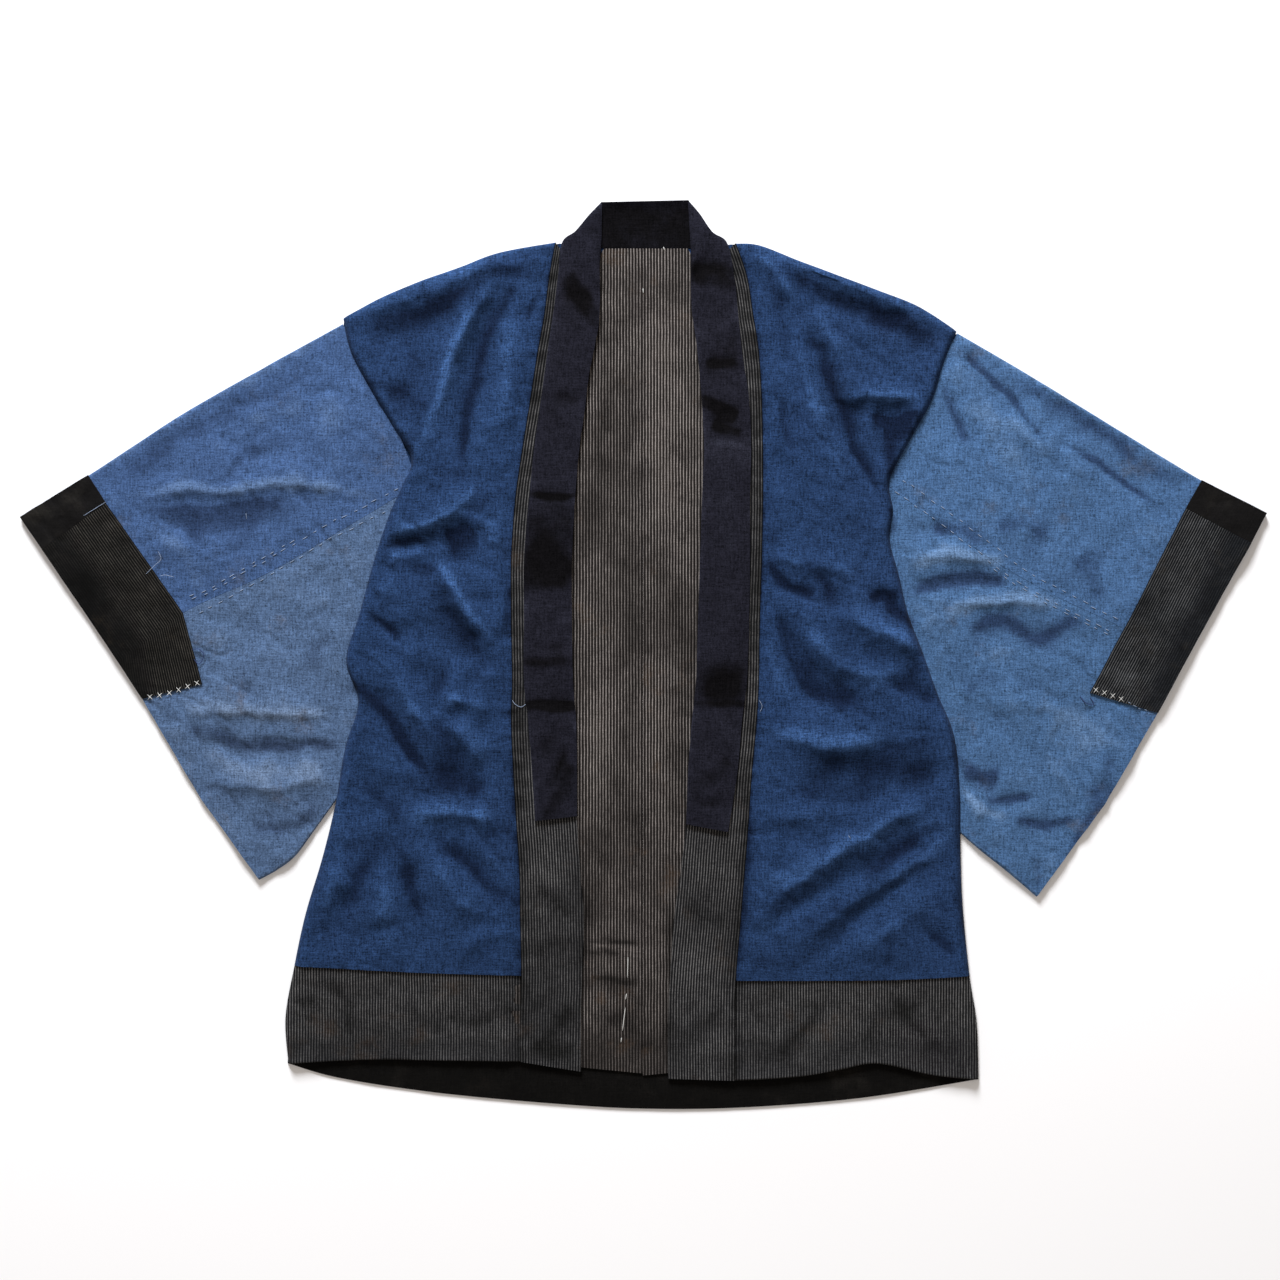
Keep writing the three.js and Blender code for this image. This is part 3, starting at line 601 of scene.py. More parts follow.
def between(corners, u, v):
    """Straight in both directions between four corners: upper left and right, lower left and right."""
    a, b, c, d = corners
    return (a * (1 - u) + b * u) * (1 - v) + (c * (1 - u) + d * u) * v


def near_path(path, x, y):
    """The distance to a path, its sign (positive below it or to its left), and the share of the
    path's length at the nearest point."""
    line = through(path, 14)
    best = np.full(x.shape, 1e9)
    sign = np.ones(x.shape)
    share = np.zeros(x.shape)
    for i in range(len(line) - 1):
        (ax, ay), (bx, by) = line[i], line[i + 1]
        dx, dy = bx - ax, by - ay
        t = np.clip(((x - ax) * dx + (y - ay) * dy) / (dx * dx + dy * dy), 0, 1)
        away = np.hypot(x - ax - t * dx, y - ay - t * dy)
        closer = away < best
        best = np.where(closer, away, best)
        sign = np.where(closer, np.sign(dx * (y - ay) - dy * (x - ax)), sign)
        share = np.where(closer, (i + t) / (len(line) - 1), share)
    return best, sign, share


def fold_map(crests, power=1.25, end=0.33):
    """The folds' sum over the table. A crest falls off as exp(-(d/w)^power), with w narrower on
    its steep side and wider on the gentle one, and dies away over that share of its path at both
    ends. The paths waver by a few millimetres."""
    total = np.zeros((MAP_Y, MAP_X))
    for fold in crests:
        p = np.asarray(fold.path)
        reach = 4.0 * fold.wide + 8
        x0, y0 = np.maximum(p.min(axis=0) - reach, 0).astype(int)
        x1, y1 = np.minimum(p.max(axis=0) + reach, (MAP_X, MAP_Y)).astype(int)
        window = (slice(y0, y1), slice(x0, x1))
        x, y = COLUMN_X[window] + WAVER_X[window], ROW_Y[window] + WAVER_Y[window]
        away, sign, share = near_path(fold.path, x, y)
        wide = fold.wide * np.where(sign > 0, 1 - fold.lean, 1 + 1.5 * fold.lean)
        ends = np.clip(np.minimum(share, 1 - share) / end, 0, 1)
        ends = 0.05 + 0.95 * eased(ends)
        total[window] += fold.high * ends * np.exp(-(away / wide) ** power)
    return total


def rumple(spacing, seed, stretch=1.0):
    """Smooth random waves over the table, about from -1 to 1: random numbers on a lattice as far
    apart as given, turned by an angle of its own and joined by smooth steps."""
    rng = np.random.default_rng(seed)
    angle = rng.uniform(0.3, 1.2)
    lattice = rng.uniform(-1, 1, (256, 256))
    along = (COLUMN_X * np.cos(angle) + ROW_Y * np.sin(angle)) / (spacing * stretch) + 80
    across = (ROW_Y * np.cos(angle) - COLUMN_X * np.sin(angle)) / spacing + 120
    i, j = np.floor(along).astype(int), np.floor(across).astype(int)
    u, v = eased(along - i), eased(across - j)
    i, j, i1, j1 = i % 256, j % 256, (i + 1) % 256, (j + 1) % 256
    return between((lattice[j, i], lattice[j, i1], lattice[j1, i], lattice[j1, i1]), u, v)


def creases(spacing, seed, stretch=2.0):
    """Thin sharp lines, 1 on the line and 0 away from it: where two random waves cross zero."""
    waves = rumple(spacing, seed, stretch) + 0.45 * rumple(spacing / 2.3, seed + 500, stretch)
    patches = eased(0.5 + 1.2 * rumple(2.2 * spacing, seed + 900))
    return np.maximum(1 - 3.2 * np.abs(waves), 0) ** 1.5 * patches


WAVER_X = 3.2 * rumple(36, 71) + 1.6 * rumple(14, 72)
WAVER_Y = 3.2 * rumple(33, 73) + 1.6 * rumple(13, 74)


def blurred(field, radius):
    """The field averaged three times over a square, by running sums."""
    size = 2 * radius + 1
    for _ in range(3):
        for axis in (0, 1):
            pad = [(0, 0), (0, 0)]
            pad[axis] = (radius + 1, radius)
            sums = np.cumsum(np.pad(field, pad, mode="edge"), axis=axis)
            length = field.shape[axis]
            high = np.take(sums, np.arange(size, size + length), axis=axis)
            low = np.take(sums, np.arange(length), axis=axis)
            field = (high - low) / size
    return field


def looked_up(field, points):
    """The field at table points, straight between its cells."""
    x = np.clip(points[..., 0], 0, MAP_X - 1.001)
    y = np.clip(points[..., 1], 0, MAP_Y - 1.001)
    i, j = x.astype(int), y.astype(int)
    u, v = x - i, y - j
    return between((field[j, i], field[j, i + 1], field[j + 1, i], field[j + 1, i + 1]), u, v)


def floored(field, low):
    """The field kept above low by a soft bend: low + log(1 + exp(x - low)) at a scale of 0.7."""
    return low + 0.7 * np.logaddexp(0, (field - low) / 0.7)


def front_line(side, name, per_section=6):
    """One of a front's lines, from the shoulder to the hem."""
    return by_sections([getattr(section, name) for section in FRONTS[side]], per_section)


def line_x(side, name):
    """How far right a front's line is, at the height of each place of the map."""
    line = front_line(side, name)
    order = np.argsort(line[:, 1])
    return np.interp(ROW_Y, line[order, 1], line[order, 0])


def inside(side, line, width):
    """How far inside a front's line each table point is, as a share of width, eased from 0 to 1.
    Left of the seam or right of the side for the left front, and the other way for the right."""
    towards = 1 if (side == "left") == (line == "side") else -1
    return eased((COLUMN_X - line_x(side, line)) * towards / width)


def puckers(across, along, seed, reach=9.0, pitch=6.5):
    """Short dents that a gathered seam pulls into the cloth: random waves along the seam, which die
    away across it as exp(-|d|/reach)."""
    rng = np.random.default_rng(seed)
    dents = rng.uniform(-1, 1, 400) * rng.uniform(0.3, 1, 400)
    at = along / pitch
    i = np.floor(at).astype(int) % 399
    wave = dents[i] * (1 - eased(at % 1)) + dents[i + 1] * eased(at % 1)
    return wave * np.exp(-np.abs(across) / reach)


def seam_puckers():
    """Puckers along both fronts' long seams, the facings' edges and the seams over the hems."""
    total = np.zeros((MAP_Y, MAP_X))
    for side, seed in (("left", 55), ("right", 56)):
        seam = COLUMN_X - line_x(side, "seam")
        edge = COLUMN_X - line_x(side, "edge")
        total += 1.8 * puckers(seam, ROW_Y, seed) + 0.8 * puckers(edge, ROW_Y, 61, 6.0, 9.0)
        hem_seam = np.sort(np.array(HEM_SEAM[side]), axis=0)
        over_hem = np.abs(COLUMN_X - hem_seam[:, 0].mean()) < 125
        hem = ROW_Y - np.interp(COLUMN_X, *hem_seam.T)
        total += 1.1 * puckers(hem, COLUMN_X, 57, 8.0, 8.0) * over_hem
    return total


def seam_painted_shade():
    """Painted shade along the fronts' seams, where cloth in the seam's dip takes less light, unevenly, and
    banded painted shade on the strip beside each seam up by the collar.
    """
    total = np.zeros((MAP_Y, MAP_X))
    patches = 0.65 + 0.35 * rumple(13, 91) + 0.25 * rumple(5, 92)
    for side in FRONTS:
        seam = COLUMN_X - line_x(side, "seam")
        strip = seam * (1 if side == "left" else -1)
        beside = eased((strip + 1) / 2) * eased((15 - strip) / 3) * eased((830 - ROW_Y) / 20)
        inside_hem = eased((ROW_Y - 760) / 60)
        total -= patches * np.exp(-np.abs(seam) / (3.0 + 2.0 * inside_hem)) * (0.8 + 0.4 * inside_hem)
        total -= 0.45 * beside * (0.6 + 0.4 * np.sin(ROW_Y / 3.1 + 2 * rumple(30, 93)))
    return total


def front_relief():
    """The fronts' height over their level: air, folds and small crumples, flat beside the collar
    and low at the edges."""
    crumple = 1.6 * rumple(46, 3, 1.6) + 1.0 * rumple(21, 4)
    crumple += 0.32 * rumple(9, 5) + 0.12 * rumple(4.3, 6)
    fine = -1.7 * creases(52, 7) - 1.0 * creases(27, 8) - 0.45 * creases(14, 9)
    body = LOFT + 0.8 * blurred(fold_map(FRONT_FOLDS), 1) + crumple + fine
    open_part = {side: inside(side, "seam", 18) * inside(side, "side", 10) for side in FRONTS}
    share = np.where(COLUMN_X < TABLE_CENTRE[0], open_part["left"], open_part["right"])
    top = eased((ROW_Y - 238) / 30) * 0.6 + 0.4
    low = 1 - 0.6 * eased((ROW_Y - 940) / 60)
    plain = 0.5 * rumple(24, 27) + 0.3 * rumple(10, 28) - 0.9 * creases(40, 29)
    return floored(EDGE_LOFT + (body - EDGE_LOFT) * share * top * low + plain + seam_puckers(), 0.15)


def sleeve_relief():
    """The sleeves' height over the lining's level, lower under the fronts' side edges."""
    crumple = 1.7 * rumple(42, 13, 1.6) + 1.0 * rumple(19, 14)
    crumple += 0.34 * rumple(8, 15) + 0.12 * rumple(4.1, 16)
    fine = -1.7 * creases(46, 17) - 1.0 * creases(25, 18) - 0.45 * creases(13, 19)
    body = 2.4 + 0.75 * blurred(fold_map(SLEEVE_FOLDS), 1) + crumple + fine
    left = line_x("left", "side") - COLUMN_X
    right = COLUMN_X - line_x("right", "side")
    outside = np.where(COLUMN_X < TABLE_CENTRE[0], left, right)
    return floored(0.3 + (body - 0.3) * eased((outside + 12) / 30), 0.1)


def relief_wear_and_shade(relief, shade):
    """Lighter where the relief stands over the mean of its surroundings, as rubbed cloth with painted
    light, and darker where it lies under it, as painted shade, by one full step for 7 mm, with the given
    light and shade added."""
    return np.clip((relief - blurred(relief, 13)) / 7.0 + shade, -1, 1)


FRONT_MAP = front_relief()
SLEEVE_MAP = sleeve_relief()
COLLAR_DENT = 1.6 * fold_map(COLLAR_DENTS, 1.6)
COLLAR_MAP = COLLAR_DENT + 0.5 * rumple(30, 23) + 0.3 * rumple(13, 24) + 0.1 * rumple(6, 25)
FLAT_MAP = 0.35 * (1 + rumple(30, 33)) + 0.12 * rumple(11, 34) + fold_map(TUCKS)
# Painted light and shade, with some real fading, from the strokes and along the seams; and the collar's
# painted light and shade
LIGHT_SHADE_AND_FADE_MAP = fold_map(LIGHT_SHADE_AND_FADE_STROKES, 1.8, 0.18) + seam_painted_shade()
COLLAR_LIGHT_AND_SHADE_MAP = fold_map(COLLAR_LIGHT_AND_SHADE_STROKES, 4.0, 0.02)
# The fronts' and sleeves' crests rubbed lighter with painted light, their hollows darkened with painted
# shade, and the painted strokes added
FRONT_WEAR_AND_SHADE = relief_wear_and_shade(FRONT_MAP, 0.9 * LIGHT_SHADE_AND_FADE_MAP)
SLEEVE_WEAR_AND_SHADE = relief_wear_and_shade(SLEEVE_MAP, LIGHT_SHADE_AND_FADE_MAP)
PATCHY = 0.5 * rumple(21, 41) + 0.3 * rumple(8, 42)


def to_frame(points, z):
    """Table points at a height in millimetres, as points of the row frame in metres."""
    x = points[..., 0] - TABLE_CENTRE[0]
    y = TABLE_CENTRE[1] - points[..., 1]
    return np.stack([x, y, np.broadcast_to(z, x.shape)], axis=-1) / 1000


def placed(name, data):
    """A new object in the scene."""
    thing = bpy.data.objects.new(name, data)
    bpy.context.collection.objects.link(thing)
    return thing


def mesh_object(name, points, quads, look, uv=None, wear_and_shade=None):
    """An object of quads, its faces turned outwards, with UVs, and at its points a value for rubbed and
    faded cloth with painted light and painted shade.
    """
    a, b, c, d = (points[quads[:, i]] for i in range(4))
    volume = np.einsum("ij,ij->i", a, np.cross(b, c) + np.cross(c, d)).sum()
    if volume < 0:
        quads = quads[:, ::-1]
    mesh = bpy.data.meshes.new(name)
    mesh.vertices.add(len(points))
    mesh.vertices.foreach_set("co", points.ravel())
    mesh.loops.add(quads.size)
    mesh.loops.foreach_set("vertex_index", quads.ravel())
    mesh.polygons.add(len(quads))
    mesh.polygons.foreach_set("loop_start", np.arange(0, quads.size, 4))
    mesh.polygons.foreach_set("loop_total", np.full(len(quads), 4))
    mesh.polygons.foreach_set("use_smooth", np.ones(len(quads), bool))
    if uv is not None:
        layer = mesh.uv_layers.new(name="UVMap")
        layer.data.foreach_set("uv", uv[quads.ravel()].ravel())
    if wear_and_shade is not None:
        # the value of rubbed and faded cloth with painted light and painted shade, which the look reads
        mesh.attributes.new("wear_and_shade", "FLOAT", "POINT").data.foreach_set("value", wear_and_shade)
    mesh.update(calc_edges=True)
    mesh.validate()
    mesh.set_sharp_from_angle(angle=SHARP)
    mesh.materials.append(look)
    return placed(name, mesh)


def grid_quads(rows, columns, start=0):
    """The quads of a grid of points, whose numbers begin at start."""
    i, j = np.mgrid[0:rows - 1, 0:columns - 1]
    k = (start + i * columns + j).ravel()
    return np.stack([k, k + columns, k + columns + 1, k + 1], axis=1)


def cloth(name, outer, inner, look, slot, uv, wear_and_shade):
    """A closed wall of cloth between an outer and an inner sheet of points, given as rows of
    columns, joined round its rim. It has the name of the solid that it stands for."""
    rows, columns = outer.shape[:2]
    count = rows * columns
    index = np.arange(count).reshape(rows, columns)
    rim = np.concatenate([index[0, :-1], index[:-1, -1], index[-1, :0:-1], index[:0:-1, 0]])
    following = np.roll(rim, -1)
    quads = np.concatenate([
        grid_quads(rows, columns),
        grid_quads(rows, columns, count)[:, ::-1],
        np.stack([rim, following, following + count, rim + count], axis=1),
    ])
    points = np.concatenate([outer.reshape(-1, 3), inner.reshape(-1, 3)])
    uv = np.tile(uv.reshape(-1, 2), (2, 1))
    wear_and_shade = np.tile(wear_and_shade.ravel(), 2)
    piece = mesh_object(name, points, quads, look, uv / 1000, wear_and_shade)
    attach(piece, "root")
    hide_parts(name)
    return piece


def laid(name, rows, low, high, look, slot, uv, wear_and_shade):
    """The wall of cloth over rows of table points, between two heights."""
    return cloth(name, to_frame(rows, high), to_frame(rows, low), look, slot, uv, wear_and_shade)


def filled(top, bottom, left, right):
    """Rows of table points between four edges. A row is straight, and bends with the top or the
    bottom edge the nearer it lies to it: P = straight + (1-v)^3 topbend + v^3 bottombend."""
    u = np.linspace(0, 1, len(top))[None, :, None]
    v = np.linspace(0, 1, len(left))[:, None, None]
    rows = left[:, None] * (1 - u) + right[:, None] * u
    top_bend = top - (left[0] * (1 - u[0]) + right[0] * u[0])
    bottom_bend = bottom - (left[-1] * (1 - u[0]) + right[-1] * u[0])
    return rows + (1 - v) ** 3 * top_bend + v ** 3 * bottom_bend


def ruled(lines, spacing):
    """Rows of table points between lines of equal count, straight from one line to the next."""
    rows = []
    for a, b in zip(lines, lines[1:]):
        count = max(2, int(np.ceil(np.linalg.norm(b - a, axis=1).max() / spacing)))
        t = np.linspace(0, 1, count, endpoint=False)[:, None, None]
        rows.append(a * (1 - t) + b * t)
    return np.concatenate([*rows, lines[-1][None]])


def turned(front, heights, back, reach):
    """A cloth turned over a folded edge: front rows that start at the edge, half a circle round it
    with half the front's height as radius, and back rows that lie on the table. Front rows less than
    0.4 past the circle's axis are left out. reach is how far the sheet stands out from the cloth's
    inner face."""
    radius = (heights[0] + CLOTH) / 2
    ahead = front[2] - front[0]
    inward = ahead / np.linalg.norm(ahead, axis=1, keepdims=True)
    axis = front[0] + inward * radius[:, None]
    past = ((front[1:] - axis) * inward).sum(axis=2) > 0.4
    keep = 1 + int(np.argmax(past.all(axis=1)))
    front_points = to_frame(front[keep:], heights[keep:] + reach)
    crown = to_frame(axis, heights[0] + reach)[None]
    angle = np.pi / 2 - np.pi * np.arange(1, TURN_STEPS) / TURN_STEPS
    arm = (radius - CLOTH + reach)[None, :]
    out = arm * np.cos(angle)[:, None]
    rise = radius[None] + arm * np.sin(angle)[:, None]
    turn = to_frame(axis[None] - inward[None] * out[..., None], rise)
    underneath = np.concatenate([axis[None], back[1:]])
    back_points = to_frame(underneath, np.full(underneath.shape[:2], BACK_LEVEL + CLOTH - reach))
    return np.concatenate([front_points[::-1], crown, turn, back_points]), keep


def turned_cloth(name, front, heights, back, look, slot, wear_and_shade_map):
    """The cloth that turned() describes, with table points as its UVs, rubbed paler along the fold, and
    with the map's rubbed and painted light and painted shade on its face.
    """
    outer, keep = turned(front, heights, back, CLOTH)
    inner, _ = turned(front, heights, back, 0)
    uv = outer[..., :2] * 1000
    wear_and_shade = np.zeros(outer.shape[:2])
    shown = len(front) - keep
    wear_and_shade[:shown] = looked_up(wear_and_shade_map, front[keep:])[::-1]
    wear_and_shade[shown:shown + TURN_STEPS // 2] = FOLD_WEAR
    return cloth(name, outer, inner, look, slot, uv, wear_and_shade)


def rolled(distance, radius, fade):
    """The soft roll beside a folded edge: a quarter circle up from the edge, radius high, that
    falls away over the cloth."""
    t = np.clip(distance / radius, 0, 1)
    return radius * np.sqrt(1 - (1 - t) ** 2) * np.exp(-np.maximum(distance - radius, 0) / fade)


def feed(tree, socket, value):
    """Gives a socket a value, or links it to another socket."""
    if isinstance(value, bpy.types.NodeSocket):
        tree.links.new(value, socket)
    else:
        socket.default_value = value


def node(tree, kind, *in_order, **by_name):
    """A shader node with its inputs, in order or by name."""
    made = tree.nodes.new("ShaderNode" + kind)
    for key, value in [*enumerate(in_order), *by_name.items()]:
        feed(tree, made.inputs[key], value)
    return made


def maths(tree, operation, a, b=0.0, c=0.0, clamp=False):
    """Sums on sockets or numbers."""
    made = node(tree, "Math", a, b, c)
    made.operation = operation
    made.use_clamp = clamp
    return made.outputs[0]


def mixed(tree, share, a, b, blend="MIX"):
    """Colour a with that share of colour b."""
    made = tree.nodes.new("ShaderNodeMix")
    made.data_type = "RGBA"
    made.blend_type = blend
    for index, value in ((0, share), (6, a), (7, b)):
        feed(tree, made.inputs[index], value)
    return made.outputs[2]


def ranged(tree, value, low, high, to_low=0.0, to_high=1.0):
    """The value carried from one range to another by a smooth step."""
    made = node(tree, "MapRange", Value=value)
    made.interpolation_type = "SMOOTHSTEP"
    for index, limit in enumerate((low, high, to_low, to_high), 1):
        made.inputs[index].default_value = limit
    return made.outputs[0]


def noise(tree, vector, scale, detail, rough):
    """Smooth noise, with as many finer layers as detail says."""
    return node(tree, "TexNoise", Vector=vector, Scale=scale, Detail=detail, Roughness=rough).outputs[0]


def threaded(tree, flat, along, across):
    """Noise drawn out to threads, with so many to a metre in each direction of the cloth."""
    at = node(tree, "Mapping", Vector=flat, Scale=(along, across, 1.0))
    return noise(tree, at.outputs[0], 1.0, 2.0, 0.6)


def colour(r, g, b):
    """A colour given as 0 to 255 in sRGB, as linear light."""
    c = np.array([r, g, b]) / 255
    c = np.where(c <= 0.04045, c / 12.92, ((c + 0.055) / 1.055) ** 2.4)
    return (*c.tolist(), 1.0)


def shaded(name, roughness, specular=0.5, tint=None):
    """A new look, and its shader."""
    look = bpy.data.materials.new(name)
    look.use_nodes = True
    shader = look.node_tree.nodes["Principled BSDF"]
    shader.inputs["Roughness"].default_value = roughness
    shader.inputs["Specular IOR Level"].default_value = specular
    if tint:
        shader.inputs["Base Color"].default_value = tint
    return look, shader


def fabric(name, tints, stain_share=0.0, stripes=None, mottle=0.6, sheen=0.03, roughness=0.85, weave=0.7):
    """Woven cotton. tints are its own colour, the lighter one of its crests, where it is rubbed and where
    painted light falls, the darker one of its hollows, which is painted shade, and that of its stains. It
    is mottled, with slubs and a fine weave. Stripes run along v, with their pitch in metres, and fade along
    a UV axis from start to end, to the share least."""
    look, shader = shaded(name, roughness, 0.03)
    tree = look.node_tree
    base, light, dark, *stain = [colour(*tint) for tint in listed(tints)]
    # sums on this look's own nodes
    operations = ("ADD", "SUBTRACT", "MULTIPLY", "MULTIPLY_ADD")
    plus, less, times, fused = (partial(maths, tree, operation) for operation in operations)

    where = tree.nodes.new("ShaderNodeTexCoord").outputs["Object"]
    flat = tree.nodes.new("ShaderNodeUVMap").outputs[0]
    wear_and_shade = node(tree, "Attribute")
    wear_and_shade.attribute_name = "wear_and_shade"
    broad = noise(tree, where, 6.0, 5.0, 0.6)
    medium = noise(tree, where, 38.0, 6.0, 0.65)
    fine = noise(tree, where, 640.0, 3.0, 0.75)
    slub = threaded(tree, flat, 620.0, 75.0)
    cross = threaded(tree, flat, 70.0, 700.0)

    # Painted light on the crests and painted shade in the hollows, with rubbing, fading and random
    # mottling, mix the own colour towards the lighter or the darker tint
    lit = plus(wear_and_shade.outputs["Fac"], times(less(broad, 0.5), 1.6 * mottle))
    lit = plus(lit, times(less(medium, 0.5), 2.2 * mottle))
    made = mixed(tree, ranged(tree, lit, 0.0, 1.0), base, light)
    made = mixed(tree, ranged(tree, lit, 0.0, -1.0), made, dark)
    if stripes:
        along = node(tree, "SeparateXYZ", Vector=flat)
        wobble = times(less(medium, 0.5), 0.5 * stripes.pitch)
        turn = maths(tree, "FRACT", maths(tree, "DIVIDE", plus(along.outputs[0], wobble), stripes.pitch))
        peak = maths(tree, "ABSOLUTE", less(turn, 0.5))
        line = ranged(tree, peak, 0.5 * stripes.share + 0.08, 0.5 * stripes.share - 0.08)
        patch = ranged(tree, broad, 0.5 - stripes.uneven, 0.5 + 0.3 * stripes.uneven)
        line = times(line, fused(patch, 0.6, 0.4))
        line = times(line, fused(slub, 0.9, 0.55))
        # the pale stripes dim with the painted shade too
        line = times(line, ranged(tree, lit, -1.0, 0.7, 0.25, 1.25))
        faded = ranged(tree, along.outputs[stripes.axis], stripes.end, stripes.start, stripes.least, 1.0)
        line = times(line, faded)
        line = times(line, stripes.strength, clamp=True)
        made = mixed(tree, line, made, stripes.pale)
    if stain:
        blot = ranged(tree, noise(tree, where, 17.0, 6.0, 0.7), 0.56, 0.74)
        made = mixed(tree, times(blot, stain_share), made, stain[0])
    threads = plus(times(fine, 2.0), plus(slub, cross))
    grain = fused(less(threads, 2.0), 1.9 * weave, 1.0)
    grain = maths(tree, "MAXIMUM", grain, 0.25)
    grey = node(tree, "CombineColor", Red=grain, Green=grain, Blue=grain).outputs[0]
    tree.links.new(mixed(tree, 1.0, made, grey, "MULTIPLY"), shader.inputs["Base Color"])
    shader.inputs["Sheen Weight"].default_value = sheen
    shader.inputs["Sheen Roughness"].default_value = 0.5
    rough_bump = plus(medium, times(plus(fine, slub), 0.16))
    bump = node(tree, "Bump", Height=rough_bump, Strength=0.55, Distance=0.0016)
    tree.links.new(bump.outputs[0], shader.inputs["Normal"])
    return look


INDIGO = fabric(
    "indigo cotton", "31,50,81 48,74,114 14,24,44 22,32,52", 0.35,
    sheen=0.02, roughness=0.9, mottle=0.35, weave=0.85)
SLEEVE_LOOKS = {
    ("left", "upper"): fabric(
        "faded indigo cotton, left", "56,78,114 79,101,134 36,51,78 68,72,82", 0.6, mottle=0.48),
    ("right", "upper"): fabric(
        "faded indigo cotton, right", "62,90,126 86,113,147 39,57,86 68,72,82", 0.6),
    ("left", "lower"): fabric(
        "faded grey-blue cotton, left", "70,90,119 96,114,140 43,56,79 82,78,80", 0.7, mottle=0.55),
    ("right", "lower"): fabric(
        "faded grey-blue cotton, right", "62,90,125 88,114,147 38,55,83 76,76,82", 0.6, mottle=0.65),
}
DARK_STRIPE = fabric(
    "dark striped cotton", "22,22,24 38,38,39 11,11,11 50,40,32", 0.5,
    Stripes(0.0028, 0.30, colour(95, 94, 93), 1.0, 0.35, 1, 1.034, 1.046, 0.55), mottle=0.5, weave=0.55)
LINING_LOOK = fabric(
    "striped lining", "27,24,23 48,43,40 14,12,11 66,52,40", 0.55,
    Stripes(0.0031, 0.27, colour(127, 121, 117), 1.0, 0.28, 1, 1.026, 1.046, 0.5), mottle=0.45, weave=0.45)
PIN_STRIPES = {
    "left": fabric(
        "pin-striped cotton, left", "11,11,11 29,27,25 6,6,6 42,36,28", 0.45,
        Stripes(0.0024, 0.26, colour(66, 63, 58), 0.8, 0.3, 0, 0.036, 0.06, 0.2),
        mottle=0.55, weave=0.45),
    "right": fabric(
        "pin-striped cotton, right", "15,17,20 37,39,42 8,8,9 46,42,36", 0.45,
        Stripes(0.0024, 0.27, colour(84, 84, 84), 0.95, 0.25, 0, 0.036, 0.06, 0.2),
        mottle=0.55, weave=0.45),
}
BLACK = fabric("black cotton", "26,26,34 45,46,57 10,9,11", sheen=0.0, roughness=0.9, weave=0.75)
BLACK_HEM = fabric("black hem cotton", "11,10,9 26,24,22 6,5,5 28,24,20", 0.3, mottle=0.4, weave=0.6)
DARK_CUFF = fabric("dark cuff cotton", "17,16,16 38,36,33 9,9,9 56,50,40", 0.5, weave=0.4)
THREAD_ROUGHNESS = 0.8
PALE_THREAD = shaded("pale thread", THREAD_ROUGHNESS, tint=colour(190, 190, 186))[0]
DULL_THREAD = shaded("grey thread", THREAD_ROUGHNESS, tint=colour(132, 146, 168))[0]
BLUE_THREAD = shaded("blue thread", THREAD_ROUGHNESS, tint=colour(30, 46, 90))[0]

# The camera looks straight down. The width that it takes in, and the heights, are in metres.
PHOTO_MIDDLE = (640.0, 640.0)   # a table point, in millimetres
PHOTO_WIDTH = 1.280
PHOTO_LEVEL = 0.006      # the cloth's height where the width is measured
CAMERA_HEIGHT = 2.3
SENSOR_WIDTH = 36.0      # in millimetres
camera_data = bpy.data.cameras.new("camera")
camera_data.sensor_width = SENSOR_WIDTH
camera_data.lens = SENSOR_WIDTH * (CAMERA_HEIGHT - PHOTO_LEVEL) / PHOTO_WIDTH
camera = placed("camera", camera_data)
middle = to_frame(np.array(PHOTO_MIDDLE), 0.0)
camera.location = (middle[0], middle[1], CAMERA_HEIGHT)
bpy.context.scene.camera = camera

# Half the gap at a seam: outwards on each side of the jacket, and down the table
OUTWARDS = {"left": np.array([-GAP / 2, 0]), "right": np.array([GAP / 2, 0])}
DOWN = np.array([0, GAP / 2])
SLEEVE_END = 800         # how far down the table a front's side still lies on the sleeve


def on_front(points):
    """The height of the fronts' upper face."""
    return FRONT_LEVEL + CLOTH + looked_up(FRONT_MAP, points)


def on_sleeve(points):
    """The height of the sleeves' upper face."""
    return LINING_LEVEL + CLOTH + looked_up(SLEEVE_MAP, points)


def on_cuff(points):
    """The height of the upper face of the pieces on the sleeves' mouths."""
    return on_sleeve(points) + CLOTH + GAP


def on_lining(points):
    """The height of the lining's upper face."""
    return LINING_LEVEL + CLOTH + np.maximum(looked_up(FLAT_MAP, points), LINING_DIP)


def front_heights(rows):
    """The height of a front's lower face. The relief has a soft roll beside the side edge, which is
    fuller on the sleeve than below it. At distance d from the edge the share exp(-d/2) of the
    height is that of the edge itself, which lies on the sleeve or on the lining."""
    away = np.linalg.norm(rows - rows[:, :1], axis=2)
    over_sleeve = 1 - eased((rows[:, :1, 1] - SLEEVE_END) / 60)
    roll = rolled(away, SIDE_ROLL, 15) * (0.55 + 0.45 * over_sleeve)
    height = on_front(rows) - CLOTH + roll
    edge = np.exp(-away / 2.0)
    low = LINING_LEVEL + 0.2 + (FRONT_LEVEL + 0.2 - LINING_LEVEL) * over_sleeve
    return height * (1 - edge) + low * edge


